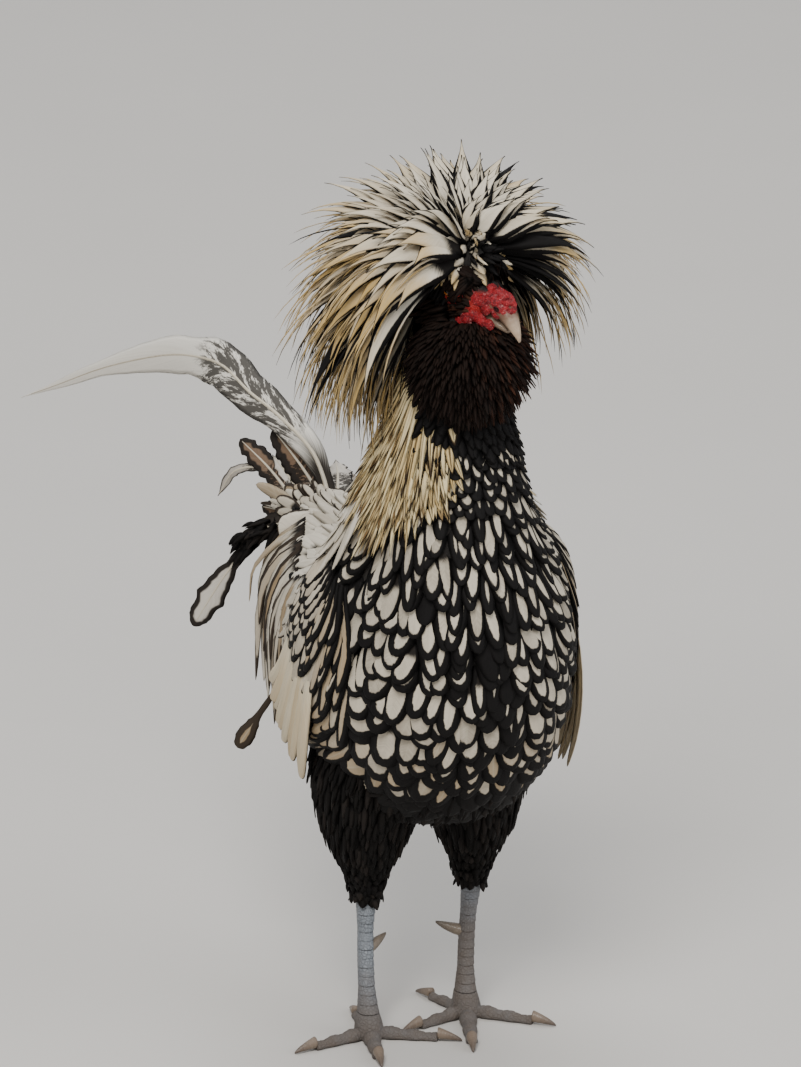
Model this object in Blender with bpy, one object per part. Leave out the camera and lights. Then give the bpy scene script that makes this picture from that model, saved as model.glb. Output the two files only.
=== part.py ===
"""A crested, bearded, silver-laced rooster at life size, standing in a walking stance.

Lengths in the tables are millimetres in the bird's own frame: it faces -Y, its left side is +X,
and the ground under the middle of its body is the origin. An empty then places the whole bird
so that the model's origin is on the ground under the middle of its box.
"""

import math
import random
from collections import namedtuple

import bmesh
import bpy
import numpy as np
from mathutils import Vector

MM = 0.001
GAP = 0.3
BIRD_PLACE = (10.6, -120.2, 0.0)
SEED = 7

# The plumage outline of neck and trunk: rings from the top of the neck to the root of the tail.
# A ring's tilt turns its belly side from forwards (0) to downwards (90) and on to backwards.
Ring = namedtuple("Ring", "x y z tilt half_width belly back")
BODY_RINGS = (
    Ring(-6, -50, 420, 4, 19, 19, 21),
    Ring(-6, -47, 386, 2, 26, 26, 30),
    Ring(-6, -43, 346, 4, 35, 35, 41),
    Ring(-6, -38, 308, 16, 45, 54, 52),
    Ring(-1, -27, 268, 40, 62, 88, 52),
    Ring(0, -8, 238, 64, 71, 111, 52),
    Ring(0, 22, 220, 84, 70, 107, 52),
    Ring(-2, 60, 219, 98, 58, 82, 46),
    Ring(-6, 98, 228, 108, 41, 52, 34),
    Ring(-11, 127, 240, 114, 24, 27, 20),
    Ring(-13, 139, 246, 116, 13, 13, 12),
)
NECK_CUT, NECK_GAP = 3.3, 0.009
SQUARENESS = 2.4
TRUNK_SIDES, TRUNK_ROWS = 22, 13
NECK_SIDES, NECK_ROWS = 18, 9

# Hackle and saddle rows: the ring they spring from, how many rings they reach, how far round.
HackleRow = namedtuple("HackleRow", "s reach left right count")
HACKLE_ROWS = (
    HackleRow(0.3, 1.5, 108, 108, 8),
    HackleRow(1.2, 1.4, 104, 92, 9),
    HackleRow(1.95, 1.35, 100, 62, 10),
    HackleRow(2.65, 1.15, 104, 52, 11),
)
HACKLE_BED = 3.0
SaddleRow = namedtuple("SaddleRow", "s reach half_angle count width")
SADDLE_ROWS = (
    SaddleRow(5.4, 1.6, 42, 5, 1.2),
    SaddleRow(6.5, 1.6, 58, 7, 1.15),
    SaddleRow(7.6, 1.8, 66, 7, 1.1),
)
FLANK_PLUMES = 7
BROKEN_PLUME = ((-34, 72, 192), (-49, 92, 168), (-59, 101, 149), (-65, 104, 138), (-71, 107, 127))

# The head's own frame: ahead along the bill, to the bird's left, and up.
HEAD_AT = (-6.0, -55.0, 437.0)
HEAD_YAW, HEAD_PITCH = 20.0, 13.0
HEAD_SIDES, BILL_SIDES = 16, 10
Section = namedtuple("Section", "ahead half_width top bottom")
HEAD_SECTIONS = (
    Section(-27, 5, 4, -5),
    Section(-24, 11, 12, -12),
    Section(-16, 15.5, 17.5, -17),
    Section(-6, 17, 20, -18),
    Section(4, 16.5, 18.5, -18),
    Section(12, 14, 14.5, -16),
    Section(19, 11, 11, -12.5),
    Section(24, 8.8, 8.8, -9.5),
)
UPPER_BILL = (
    Section(24.3, 8.2, 8.4, -1.6),
    Section(30, 7.4, 8.6, -2.0),
    Section(36, 5.8, 6.4, -3.4),
    Section(42, 4.0, 2.0, -6.0),
    Section(46.5, 2.2, -3.4, -8.6),
    Section(49, 0.9, -8.0, -10.4),
)
LOWER_BILL = (
    Section(24.3, 7.4, -2.2, -9.2),
    Section(30, 6.5, -2.8, -9.4),
    Section(36, 4.8, -4.4, -9.6),
    Section(41, 2.4, -7.2, -9.8),
)
EYE_AT, EYE_RADIUS, LID_WIDTH = (6.0, 12.8, 4.0), 5.4, 1.3
EAR_AT, EAR_RADIUS = (-8.0, 15.6, -6.0), 3.2
NOSTRIL_AT, NOSTRIL_RADII = (28.8, 4.6, 5.2), (3.8, 2.6, 3.2)
NOSTRIL_OPENING_AT, NOSTRIL_OPENING = (31.0, 6.9, 4.6), (2.0, 1.6, 0.9)
# Bare folds of the comb and the mouth's corners: ahead, out, up, and the three radii.
COMB_LOBES = (
    (20.5, 4.6, 13.0, (4.2, 3.0, 6.4)),
    (25.0, 4.0, 10.6, (3.2, 2.8, 3.8)),
    (19.5, 8.2, 3.0, (4.4, 2.6, 3.6)),
)
WATTLE_FOLDS = ((21.0, 9.0, -5.5, (4.6, 2.4, 3.4)), (17.5, 10.8, -9.0, (4.4, 2.0, 4.0)))

# The crest springs from a knob on the crown, in tiers from the top plumes to the lowest ones.
CREST_AT, CREST_CORE = (-5.0, -51.0, 451.0), (20.0, 21.0, 15.0)
Tier = namedtuple("Tier", "rise fall reach window count")
CREST_TIERS = (
    Tier(84, 56, 42, 0, 6),
    Tier(68, 30, 58, 12, 10),
    Tier(50, 2, 70, 22, 14),
    Tier(32, -32, 84, 32, 17),
    Tier(12, -64, 104, 44, 18),
    Tier(-14, -84, 124, 60, 16),
)
CREST_SHORTENS = ((0, 48, 90, 132, 180), (0.5, 0.78, 0.9, 1.0, 1.0))
PLUME_WIDTHS, PLUME_THICK = (2.2, 4.9, 5.8, 3.8, 0.0), 1.3
# How far the plumes keep from the upright line through beard and neck, by height.
NECK_AXIS = (-5.0, -50.0)
CLEAR_HEIGHTS = (0, 300, 350, 395, 415, 430, 442, 450, 900)
CLEAR_RADII = (66, 58, 50, 45, 43, 33, 19, 0, 0)

BEARD_AT, BEARD_CORE = (-6.0, -66.0, 401.0), (30.0, 21.0, 28.0)
BeardRow = namedtuple("BeardRow", "up half_angle count length lean")
BEARD_ROWS = (
    BeardRow(30, 108, 8, 20, 0.5),
    BeardRow(0, 100, 8, 24, 0.35),
    BeardRow(-36, 92, 7, 30, 0.2),
)
MOUTH_AT, MOUTH_ROOM = (25.0, 0.0, -4.0), (22.0, 18.5, 16.5)

# A folded wing, drooped: from the shoulder (0) to the tip (1), and its primaries below it.
WING_START, WING_LENGTH = 4.15, 2.6
WING_STATIONS = (0, 0.3, 0.7, 1, 1.5)
WING_MIDDLE = (106, 98, 80, 64, 50)
WING_HALF = ((0, 0.12, 0.4, 0.75, 1, 1.5), (8, 17, 22, 16, 6, 6))
WING_SWELL = ((0, 0.15, 0.5, 0.85, 1, 1.5), (2, 6, 8, 5.5, 2, 2))
WING_TIERS = (
    (0.10, 0.30, 3, (-0.6, 0.6), 0.32, 0.6, 1.25),
    (0.28, 0.45, 4, (-0.8, 0.8), 0.38, 0.4, 1.2),
    (0.50, 0.66, 4, (-0.7, 0.8), 0.44, 0.2, 1.2),
)
# Each primary: the ring and angle of its root and tip, and its height over the body at each.
PRIMARIES = (
    ((5.0, 6.35), (86, 38), (4.5, 17)),
    ((5.1, 6.55), (90, 44), (5.0, 18)),
    ((5.25, 6.75), (94, 50), (5.5, 17)),
    ((5.45, 6.90), (96, 57), (5.5, 15)),
)
PRIMARY_WIDTHS = (4.0, 7.0, 7.6, 6.2, 0.0)

TAIL_AT, TAIL_ROOT = (-14.0, 143.0, 247.0), (13.0, 13.0, 14.0)
TAIL_FACING = (-0.352, -0.871, 0.342)
SICKLE_CUT = 214.0
TAIL_THICK = 1.7
SICKLE = (
    (-5, 135, 247),
    (-5, 148, 262),
    (-9, 158, 275),
    (-19, 180, 288),
    (-27, 200, 295),
    (-33, 222, 303),
    (-40, 245, 302),
    (-50, 272, 295),
    (-68, 310, 278),
    (-85, 340, 260),
    (-98, 360, 248),
)
SICKLE_WIDTHS, SICKLE_STATIONS = (4, 5, 7, 9, 11, 12.5, 11.5, 9.5, 5, 2.2, 0), 12
# The ragged plumes under the sickle: their way, half widths and stations.
TAIL_PLUMES = (
    (((-4, 138, 243), (-10, 162, 262), (-18, 185, 276)), (4, 7.5, 8, 6, 0), 5),
    (((-14, 142, 241), (-17, 160, 254), (-22, 178, 265)), (3.5, 6, 6.5, 4.5, 0), 5),
    (((-18, 144, 242), (-24, 172, 257), (-32, 200, 268)), (3, 6, 7, 6, 0), 5),
    (((-15, 145, 240), (-24, 176, 256), (-36, 196, 252), (-42, 208, 234)), (3, 5, 4.5, 3.5, 3, 0), 7),
    (((-18, 142, 237), (-24, 160, 239), (-30, 173, 238)), (3, 6, 6.5, 5, 0), 5),
    (
        ((-16, 136, 234), (-32, 148, 236), (-41, 160, 224), (-51, 170, 205), (-58, 176, 190), (-67, 182, 171)),
        (5, 9, 9, 4, 4.5, 6.5, 0),
        8,
    ),
    (((0, 140, 243), (9, 160, 254), (15, 178, 257)), (3, 7, 8, 6, 0), 5),
    (((0, 140, 240), (18, 160, 247), (30, 176, 244)), (3, 7, 8, 6, 0), 5),
)

# Legs: a side is -1 on the bird's right and 1 on its left.
HOCK = {-1: (-35.0, 10.0, 71.0), 1: (27.5, 13.0, 70.0)}
ANKLE = {-1: (-44.0, -15.0, 14.0), 1: (17.0, -4.0, 14.0)}
# Thigh rings: height over the hock, half width, half depth, and shift outwards and backwards.
THIGH_SIDES = 14
THIGH_RINGS = (
    (122, 10, 18, -14, -6),
    (112, 22, 33, -8, -5),
    (95, 30, 41, -3, -3),
    (75, 33, 41, -1, -2),
    (57, 31, 36, -1, -1),
    (42, 26.5, 29, 0, -1),
    (27, 20.5, 22, 0, -1),
    (13, 14, 15, 0, 0),
    (0, 8.5, 9, 0, 0),
)
SHANK_SIDES, SCUTES = 10, 8
SHANK_STATIONS, SHANK_RADII = (0, 0.12, 0.3, 0.8, 1), (5.6, 4.8, 4.0, 4.2, 5.6)
SHANK_BOW, SHANK_DEPTH = 2.5, 1.18
SCUTE_HIGH, SCUTE_LOW = 0.75, 0.25
ANKLE_RINGS = ((14 - GAP, 6.1, 0), (8, 7.4, -1.2), (3, 8.0, -2), (0, 7.4, -2))
TOE_RINGS, TOE_ROOT = 6, (0.0, -2.0)
# Each toe: where it ends on the ground, its half width and its height.
TOES = {
    -1: (((-52, -50), 5.2, 7.5), ((-12, -36), 4.8, 7.0), ((-78, -24), 4.8, 7.0), ((-40, 12), 4.2, 6.5)),
    1: (((3, -48), 5.2, 7.5), ((-14, -16), 4.8, 7.0), ((45, -32), 4.8, 7.0), ((8, 22), 4.2, 6.5)),
}
TOE_NAMES = ("middle", "inner", "outer", "hind")
CLAW_LENGTH = 13.0
SPUR_LENGTH, SPUR_PLACE = 17.0, 0.48
SPUR_RINGS = ((0, 3.6), (0.4, 3.1), (0.75, 2.0), (1, 0.7))

COLOURS = {
    "plume_white": ((0.72, 0.69, 0.6), 0.7),
    "plume_black": ((0.02, 0.018, 0.016), 0.6),
    "plume_cream": ((0.66, 0.56, 0.34), 0.7),
    "red_skin": ((0.55, 0.04, 0.04), 0.45),
    "horn": ((0.62, 0.55, 0.44), 0.4),
    "shank_slate": ((0.2, 0.23, 0.26), 0.5),
    "iris": ((0.35, 0.12, 0.03), 0.1),
}


def along(rows, place):
    """The rows' values at a place between them, on a smooth curve through every row."""
    rows = np.asarray(rows, float)
    place = np.clip(np.asarray(place, float), 0, len(rows) - 1)
    low = np.minimum(place.astype(int), len(rows) - 2)
    share = (place - low)[..., None]
    slope = np.gradient(rows, axis=0)
    first, last = rows[low], rows[low + 1]
    cube, square = share**3, share**2
    return (
        first * (2 * cube - 3 * square + 1)
        + last * (3 * square - 2 * cube)
        + slope[low] * (cube - 2 * square + share)
        + slope[low + 1] * (cube - square)
    )


def unit(vectors):
    """The vectors at length one."""
    return vectors / np.maximum(np.linalg.norm(vectors, axis=-1, keepdims=True), 1e-9)


def turns(count):
    """Evenly spread angles round a circle."""
    return np.arange(count) * 2 * math.pi / count


def body_outline(s, phi):
    """A point of the plumage outline. s counts rings; phi goes from the belly to the left side."""
    ring = along(BODY_RINGS, s)
    tilt = np.radians(ring[..., 3])
    down, across = np.cos(phi), np.sin(phi)
    swell = (abs(down) ** SQUARENESS + abs(across) ** SQUARENESS) ** (-1 / SQUARENESS)
    depth = np.where(down > 0, ring[..., 5], ring[..., 6]) * down * swell
    return np.stack(
        [
            ring[..., 0] + ring[..., 4] * across * swell,
            ring[..., 1] - np.cos(tilt) * depth,
            ring[..., 2] - np.sin(tilt) * depth,
        ],
        axis=-1,
    )


def body_point(s, phi, lift=0.0):
    """(point, outward direction) at a height over the plumage outline."""
    s, phi, lift = np.broadcast_arrays(s, phi, lift)
    step = 0.02
    down_body = body_outline(s + step, phi) - body_outline(s - step, phi)
    round_body = body_outline(s, phi + step) - body_outline(s, phi - step)
    outward = unit(np.cross(down_body, round_body))
    return body_outline(s, phi) + outward * lift[..., None], outward


def head_axes():
    """The directions ahead, left and up of the head, as rows."""
    yaw, pitch = math.radians(HEAD_YAW), math.radians(HEAD_PITCH)
    level = np.array([math.sin(yaw), -math.cos(yaw), 0.0])
    ahead = level * math.cos(pitch) - np.array([0, 0, math.sin(pitch)])
    left = np.array([math.cos(yaw), math.sin(yaw), 0.0])
    return np.array([ahead, left, np.cross(ahead, left)])


def in_head(points):
    """Points given as ahead, left, up of the head, in the bird's frame."""
    return np.asarray(points, float) @ head_axes() + np.array(HEAD_AT)


def mesh_object(name, points, faces):
    """An object from points in millimetres and faces."""
    mesh = bpy.data.meshes.new(name)
    mesh.from_pydata((np.asarray(points) * MM).tolist(), [], faces)
    mesh.update()
    obj = bpy.data.objects.new(name, mesh)
    bpy.context.scene.collection.objects.link(obj)
    return obj


def face_outwards(obj):
    """Turns every face of a closed mesh outwards."""
    work = bmesh.new()
    work.from_mesh(obj.data)
    bmesh.ops.recalc_face_normals(work, faces=work.faces)
    work.to_mesh(obj.data)
    work.free()


def loft(name, rings):
    """A closed skin over rings of equal count, with a flat cap at each end."""
    rings = np.asarray(rings)
    count, sides = rings.shape[:2]
    faces = [
        (
            i * sides + j,
            i * sides + (j + 1) % sides,
            (i + 1) * sides + (j + 1) % sides,
            (i + 1) * sides + j,
        )
        for i in range(count - 1)
        for j in range(sides)
    ]
    faces.append(tuple(reversed(range(sides))))
    faces.append(tuple((count - 1) * sides + j for j in range(sides)))
    obj = mesh_object(name, rings.reshape(-1, 3), faces)
    face_outwards(obj)
    return obj


def ball(name, centre, radii, axes=None):
    """An ellipsoid with its radii along the rows of axes."""
    work = bmesh.new()
    bmesh.ops.create_icosphere(work, subdivisions=2, radius=1.0)
    points = np.array([v.co for v in work.verts]) * radii
    faces = [[v.index for v in f.verts] for f in work.faces]
    work.free()
    if axes is not None:
        points = points @ axes
    return mesh_object(name, points + np.asarray(centre), faces)


def block(name, low, high):
    """A box between two corners."""
    corners = np.array([[x, y, z] for x in (0, 1) for y in (0, 1) for z in (0, 1)])
    faces = ((0, 1, 3, 2), (4, 6, 7, 5), (0, 4, 5, 1), (2, 3, 7, 6), (0, 2, 6, 4), (1, 5, 7, 3))
    low, high = np.array(low, float), np.array(high, float)
    return mesh_object(name, low + corners * (high - low), faces)


def section_object(name, sections, sides, swell=0.0):
    """A form lofted along the head, swollen by a clearance where a cutter needs it."""
    power = 2.2
    across, up = np.cos(turns(sides)), np.sin(turns(sides))
    full = (abs(across) ** power + abs(up) ** power) ** (-1 / power)
    rings = []
    for ahead, half_width, top, bottom in sections:
        middle, half_height = (top + bottom) / 2, (top - bottom) / 2
        side = (half_width + swell) * across * full
        height = middle + (half_height + swell) * up * full
        rings.append(np.stack([np.full(sides, float(ahead)), side, height], axis=-1))
    rings[0][:, 0] -= swell
    rings[-1][:, 0] += swell
    return loft(name, in_head(np.array(rings)))


def body_length(name, first, last, sides, rows, swell=0.0, bed=0.0):
    """A length of neck or trunk between two places on the outline, lower by the bed at its back."""
    s = np.linspace(first, last, rows)[:, None]
    phi = turns(sides)[None, :]
    back = 0.5 - 0.5 * np.cos(phi)
    points, _ = body_point(s, phi, swell - bed * back)
    return loft(name, points)


def trunk_room():
    """The trunk's form with the clearance its neighbours keep."""
    return body_length("trunk_room", NECK_CUT - NECK_GAP, 10, TRUNK_SIDES, TRUNK_ROWS, GAP)


def fuse(name, pieces, cutters=()):
    """One closed body: the union of the pieces, less the cutters, with loose scraps dropped."""
    whole = pieces[0]
    whole.name = name
    whole.data.name = name
    others = bpy.data.collections.new(name + "_pieces")
    bpy.context.scene.collection.children.link(others)
    for piece in pieces[1:]:
        bpy.context.scene.collection.objects.unlink(piece)
        others.objects.link(piece)
    if len(pieces) > 1:
        join = whole.modifiers.new("Join", "BOOLEAN")
        join.operation = "UNION"
        join.solver = "MANIFOLD"
        join.operand_type = "COLLECTION"
        join.collection = others
    for cutter in cutters:
        cut = whole.modifiers.new("Cut", "BOOLEAN")
        cut.operation = "DIFFERENCE"
        cut.solver = "MANIFOLD"
        cut.object = cutter
    graph = bpy.context.evaluated_depsgraph_get()
    made = bpy.data.meshes.new_from_object(whole.evaluated_get(graph))
    whole.modifiers.clear()
    whole.data = made
    made.name = name
    for piece in list(others.objects) + list(cutters):
        bpy.data.objects.remove(piece)
    bpy.data.collections.remove(others)
    keep_largest(whole)
    return whole


def keep_largest(obj):
    """Deletes every closed surface of the mesh but the one that holds the most."""
    work = bmesh.new()
    work.from_mesh(obj.data)
    bmesh.ops.triangulate(work, faces=work.faces)
    left = set(work.faces)
    surfaces = []
    while left:
        surface = [left.pop()]
        for face in surface:
            for edge in face.edges:
                found = [other for other in edge.link_faces if other in left]
                left.difference_update(found)
                surface.extend(found)
        surfaces.append(surface)
    surfaces.sort(key=surface_volume)
    loose = [face for surface in surfaces[:-1] for face in surface]
    bmesh.ops.delete(work, geom=loose, context="FACES")
    lone = [v for v in work.verts if not v.link_faces]
    bmesh.ops.delete(work, geom=lone, context="VERTS")
    work.to_mesh(obj.data)
    work.free()


def surface_volume(triangles):
    """What a closed surface of triangles holds."""
    corners = [[v.co for v in face.verts] for face in triangles]
    return sum(a.dot(b.cross(c)) for a, b, c in corners) / 6


def finish_node(obj, material):
    """Gives a node its material and shading and stands it on the bird's empty."""
    obj.data.materials.clear()
    obj.data.materials.append(material)
    obj.data.shade_smooth()
    obj.data.set_sharp_from_angle(angle=math.radians(40))
    obj.parent = bpy.data.objects["bird"]


def finish_of(name, colour, roughness):
    """A Principled material."""
    material = bpy.data.materials.new(name)
    material.use_nodes = True
    shader = material.node_tree.nodes["Principled BSDF"]
    shader.inputs["Base Color"].default_value = (*colour, 1.0)
    shader.inputs["Roughness"].default_value = roughness
    shader.inputs["Metallic"].default_value = 0.0
    return material


def lock(name, path, facing, half_widths, thick):
    """A feather or lock that lies close: a strip with a ridge outside, its last point the tip."""
    path, facing = np.asarray(path, float), np.asarray(facing, float)
    run = unit(np.gradient(path, axis=0))
    side = unit(np.cross(facing, run))
    wide = side * np.asarray(half_widths, float)[:, None]
    high = np.cross(run, side) * thick
    rings = np.stack([path + wide, path + high, path - wide], axis=1)
    points = np.vstack([rings[:-1].reshape(-1, 3), path[-1:]])
    faces = [(0, 2, 1)]
    for i in range(len(path) - 2):
        a, b, c, d, e, f = range(3 * i, 3 * i + 6)
        faces += [(a, b, e), (a, e, d), (b, c, f), (b, f, e), (c, a, d), (c, d, f)]
    a, b, c, tip = range(len(points) - 4, len(points))
    faces += [(a, b, tip), (b, c, tip), (c, a, tip)]
    return mesh_object(name, points, faces)


def vane(name, path, facing, half_widths, thick):
    """A free feather: a strip ridged on both faces, with a square root, its last point the tip."""
    path, facing = np.asarray(path, float), np.asarray(facing, float)
    run = unit(np.gradient(path, axis=0))
    side = unit(np.cross(facing, run))
    wide = side * np.asarray(half_widths, float)[:, None]
    high = np.cross(run, side) * thick
    rings = np.stack([path + wide, path + high * 0.6, path - wide, path - high * 0.4], axis=1)
    points = np.vstack([rings[:-1].reshape(-1, 3), path[-1:]])
    faces = [(1, 0, 3), (1, 3, 2)]
    for i in range(len(path) - 2):
        a, b, c, d = range(4 * i, 4 * i + 4)
        e, f, g, h = range(4 * i + 4, 4 * i + 8)
        faces += [(a, b, f), (a, f, e), (c, g, f), (c, f, b)]
        faces += [(c, d, h), (c, h, g), (a, e, h), (a, h, d)]
    a, b, c, d = range(4 * len(path) - 8, 4 * len(path) - 4)
    tip = len(points) - 1
    faces += [(a, b, tip), (b, c, tip), (c, d, tip), (d, a, tip)]
    return mesh_object(name, points, faces)


def curve(points, count):
    """Evenly counted points on a smooth curve through the given ones."""
    return along(points, np.linspace(0, len(points) - 1, count))


def blade(name, points, facing, half_widths, thick, count):
    """A long feather along a curve through given points, its width given at even steps."""
    path = curve(points, count)
    widths = curve(np.asarray(half_widths, float)[:, None], count)
    return vane(name, path, np.broadcast_to(facing, path.shape), widths[:, 0], thick)


def lying(name, s, phi, lift, half_widths, thick, drop=0.0):
    """A feather lying on the plumage outline: s, phi and lift are given at its root and tip."""
    t = np.linspace(0, 1, len(half_widths))
    places = [first + (last - first) * t for first, last in (s, phi, lift)]
    path, facing = body_point(*places)
    path[:, 2] -= drop * t**2
    return lock(name, path, facing, half_widths, thick)


def make_torso():
    """Trunk with the saddle plumes on its back and those that hang over the flanks."""
    pieces = [body_length("torso", NECK_CUT, 10, TRUNK_SIDES, TRUNK_ROWS)]
    rng = random.Random(SEED)
    for row in SADDLE_ROWS:
        for k in range(row.count):
            share = (k + 0.5 + rng.uniform(-0.2, 0.2)) / row.count
            turn = math.radians((2 * share - 1) * row.half_angle)
            phi = math.pi + turn
            size = rng.uniform(0.88, 1.12)
            widths = np.array([3.5, 6.2, 5.4, 0]) * row.width * size
            ends = (row.s, row.s + row.reach * size)
            lift = (-1.5, 4.6 + k % 2 * 1.6)
            drop = abs(math.sin(turn)) * 26
            pieces.append(lying("saddle", ends, (phi, phi + turn * 0.3), lift, widths, 1.5, drop))
    for side in (-1, 1):
        for k in range(FLANK_PLUMES):
            pieces.append(flank_plume(side, k / (FLANK_PLUMES - 1), rng.uniform(0.9, 1.1)))
    pieces.append(blade("broken", BROKEN_PLUME, (-0.8, -0.3, 0.5), (2.5, 2.5, 2.5, 5.5, 0), 1.6, 6))
    return fuse("torso", pieces)


def flank_plume(side, share, size):
    """A long saddle plume that hangs over the flank: share 0 is the foremost one, 1 the hindmost."""
    root, out = body_point(7.2 + 1.5 * share, math.radians(side * (114 + 26 * share)), -1.5)
    away = np.array([side * (8 + 16 * share), 10 + 4 * share, 0.0])
    way = [
        root,
        root + away * 0.5 + np.array([0, 3, -18]) * size,
        root + away * 0.95 + np.array([0, 5, -50]) * size,
        root + away * 1.05 + np.array([0, 6, -88]) * size,
    ]
    return blade("flank", way, out * [1, 0.6, 0.2] + [0, 0.3, 0], (2.6, 6.0, 7.0, 5.2, 0), 1.5, 5)


def make_neck():
    """Neck with the hackle that falls from it over the shoulders."""
    pieces = [body_length("neck", 0.0, NECK_CUT + 0.02, NECK_SIDES, NECK_ROWS, 0.0, HACKLE_BED)]
    rng = random.Random(SEED + 1)
    for row in HACKLE_ROWS:
        for k in range(row.count):
            share = (k + 0.5 + rng.uniform(-0.2, 0.2)) / row.count
            turn = row.left + (360 - row.left - row.right) * share
            size = rng.uniform(0.88, 1.12)
            back = 0.5 - 0.5 * math.cos(math.radians(turn))
            ends = (row.s, row.s + row.reach * size * (0.75 + 0.35 * back))
            phi = math.radians(turn)
            lean = math.radians((turn - 180) * 0.04)
            widths = np.array([3.6, 6.3, 5.0, 0]) * size
            lift = (-1.2 - HACKLE_BED * back, 3.6 + k % 2 * 1.2)
            pieces.append(lying("hackle", ends, (phi, phi + lean), lift, widths, 1.5))
    cutters = [section_object("head_room", HEAD_SECTIONS, HEAD_SIDES, GAP), trunk_room()]
    return fuse("neck", pieces, cutters)


def ring_form(name, centre, radius, thick, side, around):
    """A rounded rim lying against the side of the head."""
    axes = head_axes()
    tube = turns(5)
    reach = radius + thick * np.cos(tube)[None, :]
    ahead = np.cos(turns(around))[:, None] * reach * 1.06
    up = np.sin(turns(around))[:, None] * reach
    out = np.broadcast_to((thick * np.sin(tube)[None, :] + 0.9) * side, ahead.shape)
    points = ahead[..., None] * axes[0] + out[..., None] * axes[1] + up[..., None] * axes[2]
    faces = [
        (
            i * 5 + j,
            i * 5 + (j + 1) % 5,
            (i + 1) % around * 5 + (j + 1) % 5,
            (i + 1) % around * 5 + j,
        )
        for i in range(around)
        for j in range(5)
    ]
    obj = mesh_object(name, points.reshape(-1, 3) + centre, faces)
    face_outwards(obj)
    return obj


def on_side(place, side):
    """A place given for the head's left side, on either side, in the bird's frame."""
    ahead, out, up = place
    return in_head((ahead, out * side, up))


def make_head():
    """Skull with sockets, lids and ear cups."""
    pieces = [section_object("head", HEAD_SECTIONS, HEAD_SIDES)]
    cutters = []
    for side in (-1, 1):
        eye = on_side(EYE_AT, side)
        pieces.append(ring_form("lid", eye, EYE_RADIUS - 0.2, LID_WIDTH, side, 13))
        pieces.append(ring_form("ear", on_side(EAR_AT, side), EAR_RADIUS, 1.3, side, 8))
        cutters.append(ball("eye_room", eye, np.full(3, EYE_RADIUS + GAP)))
    return fuse("head", pieces, cutters)


def make_upper_bill():
    """Upper bill with a raised nostril each side, hooked at the tip."""
    pieces = [section_object("upper_beak", UPPER_BILL, BILL_SIDES)]
    cutters = []
    for side in (-1, 1):
        pieces.append(ball("nostril", on_side(NOSTRIL_AT, side), NOSTRIL_RADII, head_axes()))
        cutters.append(ball("opening", on_side(NOSTRIL_OPENING_AT, side), NOSTRIL_OPENING, head_axes()))
    cutters.append(section_object("head_room", HEAD_SECTIONS, HEAD_SIDES, GAP))
    return fuse("upper_beak", pieces, cutters)


def make_comb():
    """Small horned comb: paired folds of bare skin over the bill."""
    pieces, cutters = [], []
    for side in (-1, 1):
        for ahead, out, up, radii in COMB_LOBES:
            pieces.append(ball("comb", on_side((ahead, out, up), side), radii, head_axes()))
        room = np.array(NOSTRIL_RADII) + GAP
        cutters.append(ball("nostril_room", on_side(NOSTRIL_AT, side), room, head_axes()))
    cutters.append(section_object("head_room", HEAD_SECTIONS, HEAD_SIDES, GAP))
    cutters.append(section_object("bill_room", UPPER_BILL, BILL_SIDES, GAP))
    return fuse("comb", pieces, cutters)


def make_wattle(side, name):
    """A small bare fold at the corner of the mouth."""
    pieces = [
        ball("fold", on_side((ahead, out, up), side), radii, head_axes())
        for ahead, out, up, radii in WATTLE_FOLDS
    ]
    cutters = [
        section_object("head_room", HEAD_SECTIONS, HEAD_SIDES, GAP),
        section_object("upper_room", UPPER_BILL, BILL_SIDES, GAP),
        section_object("lower_room", LOWER_BILL, BILL_SIDES, GAP),
    ]
    return fuse(name, pieces, cutters)


def crest_path(root, azimuth, rise, fall, length, count):
    """A plume's path and its facing: it leaves at one slope and ends at another."""
    yaw = math.radians(HEAD_YAW - 90 + azimuth)
    level = np.array([math.cos(yaw), math.sin(yaw), 0.0])
    up = np.array([0, 0, 1.0])
    slope = np.radians(np.linspace(rise, fall, count))[:, None]
    step = level * np.cos(slope) + up * np.sin(slope)
    middle = (step[1:] + step[:-1]) / 2
    path = root + np.vstack([np.zeros(3), np.cumsum(middle, axis=0)]) * length / (count - 1)
    return clear_of_neck(path), up * np.cos(slope) - level * np.sin(slope)


def clear_of_neck(path):
    """The path kept outside the beard, the face and the hackle."""
    away = path[:, :2] - NECK_AXIS
    far = np.maximum(np.linalg.norm(away, axis=1), 1e-3)
    push = np.maximum(np.interp(path[:, 2], CLEAR_HEIGHTS, CLEAR_RADII) / far, 1.0)
    return np.column_stack([NECK_AXIS + away * push[:, None], path[:, 2]])


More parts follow.
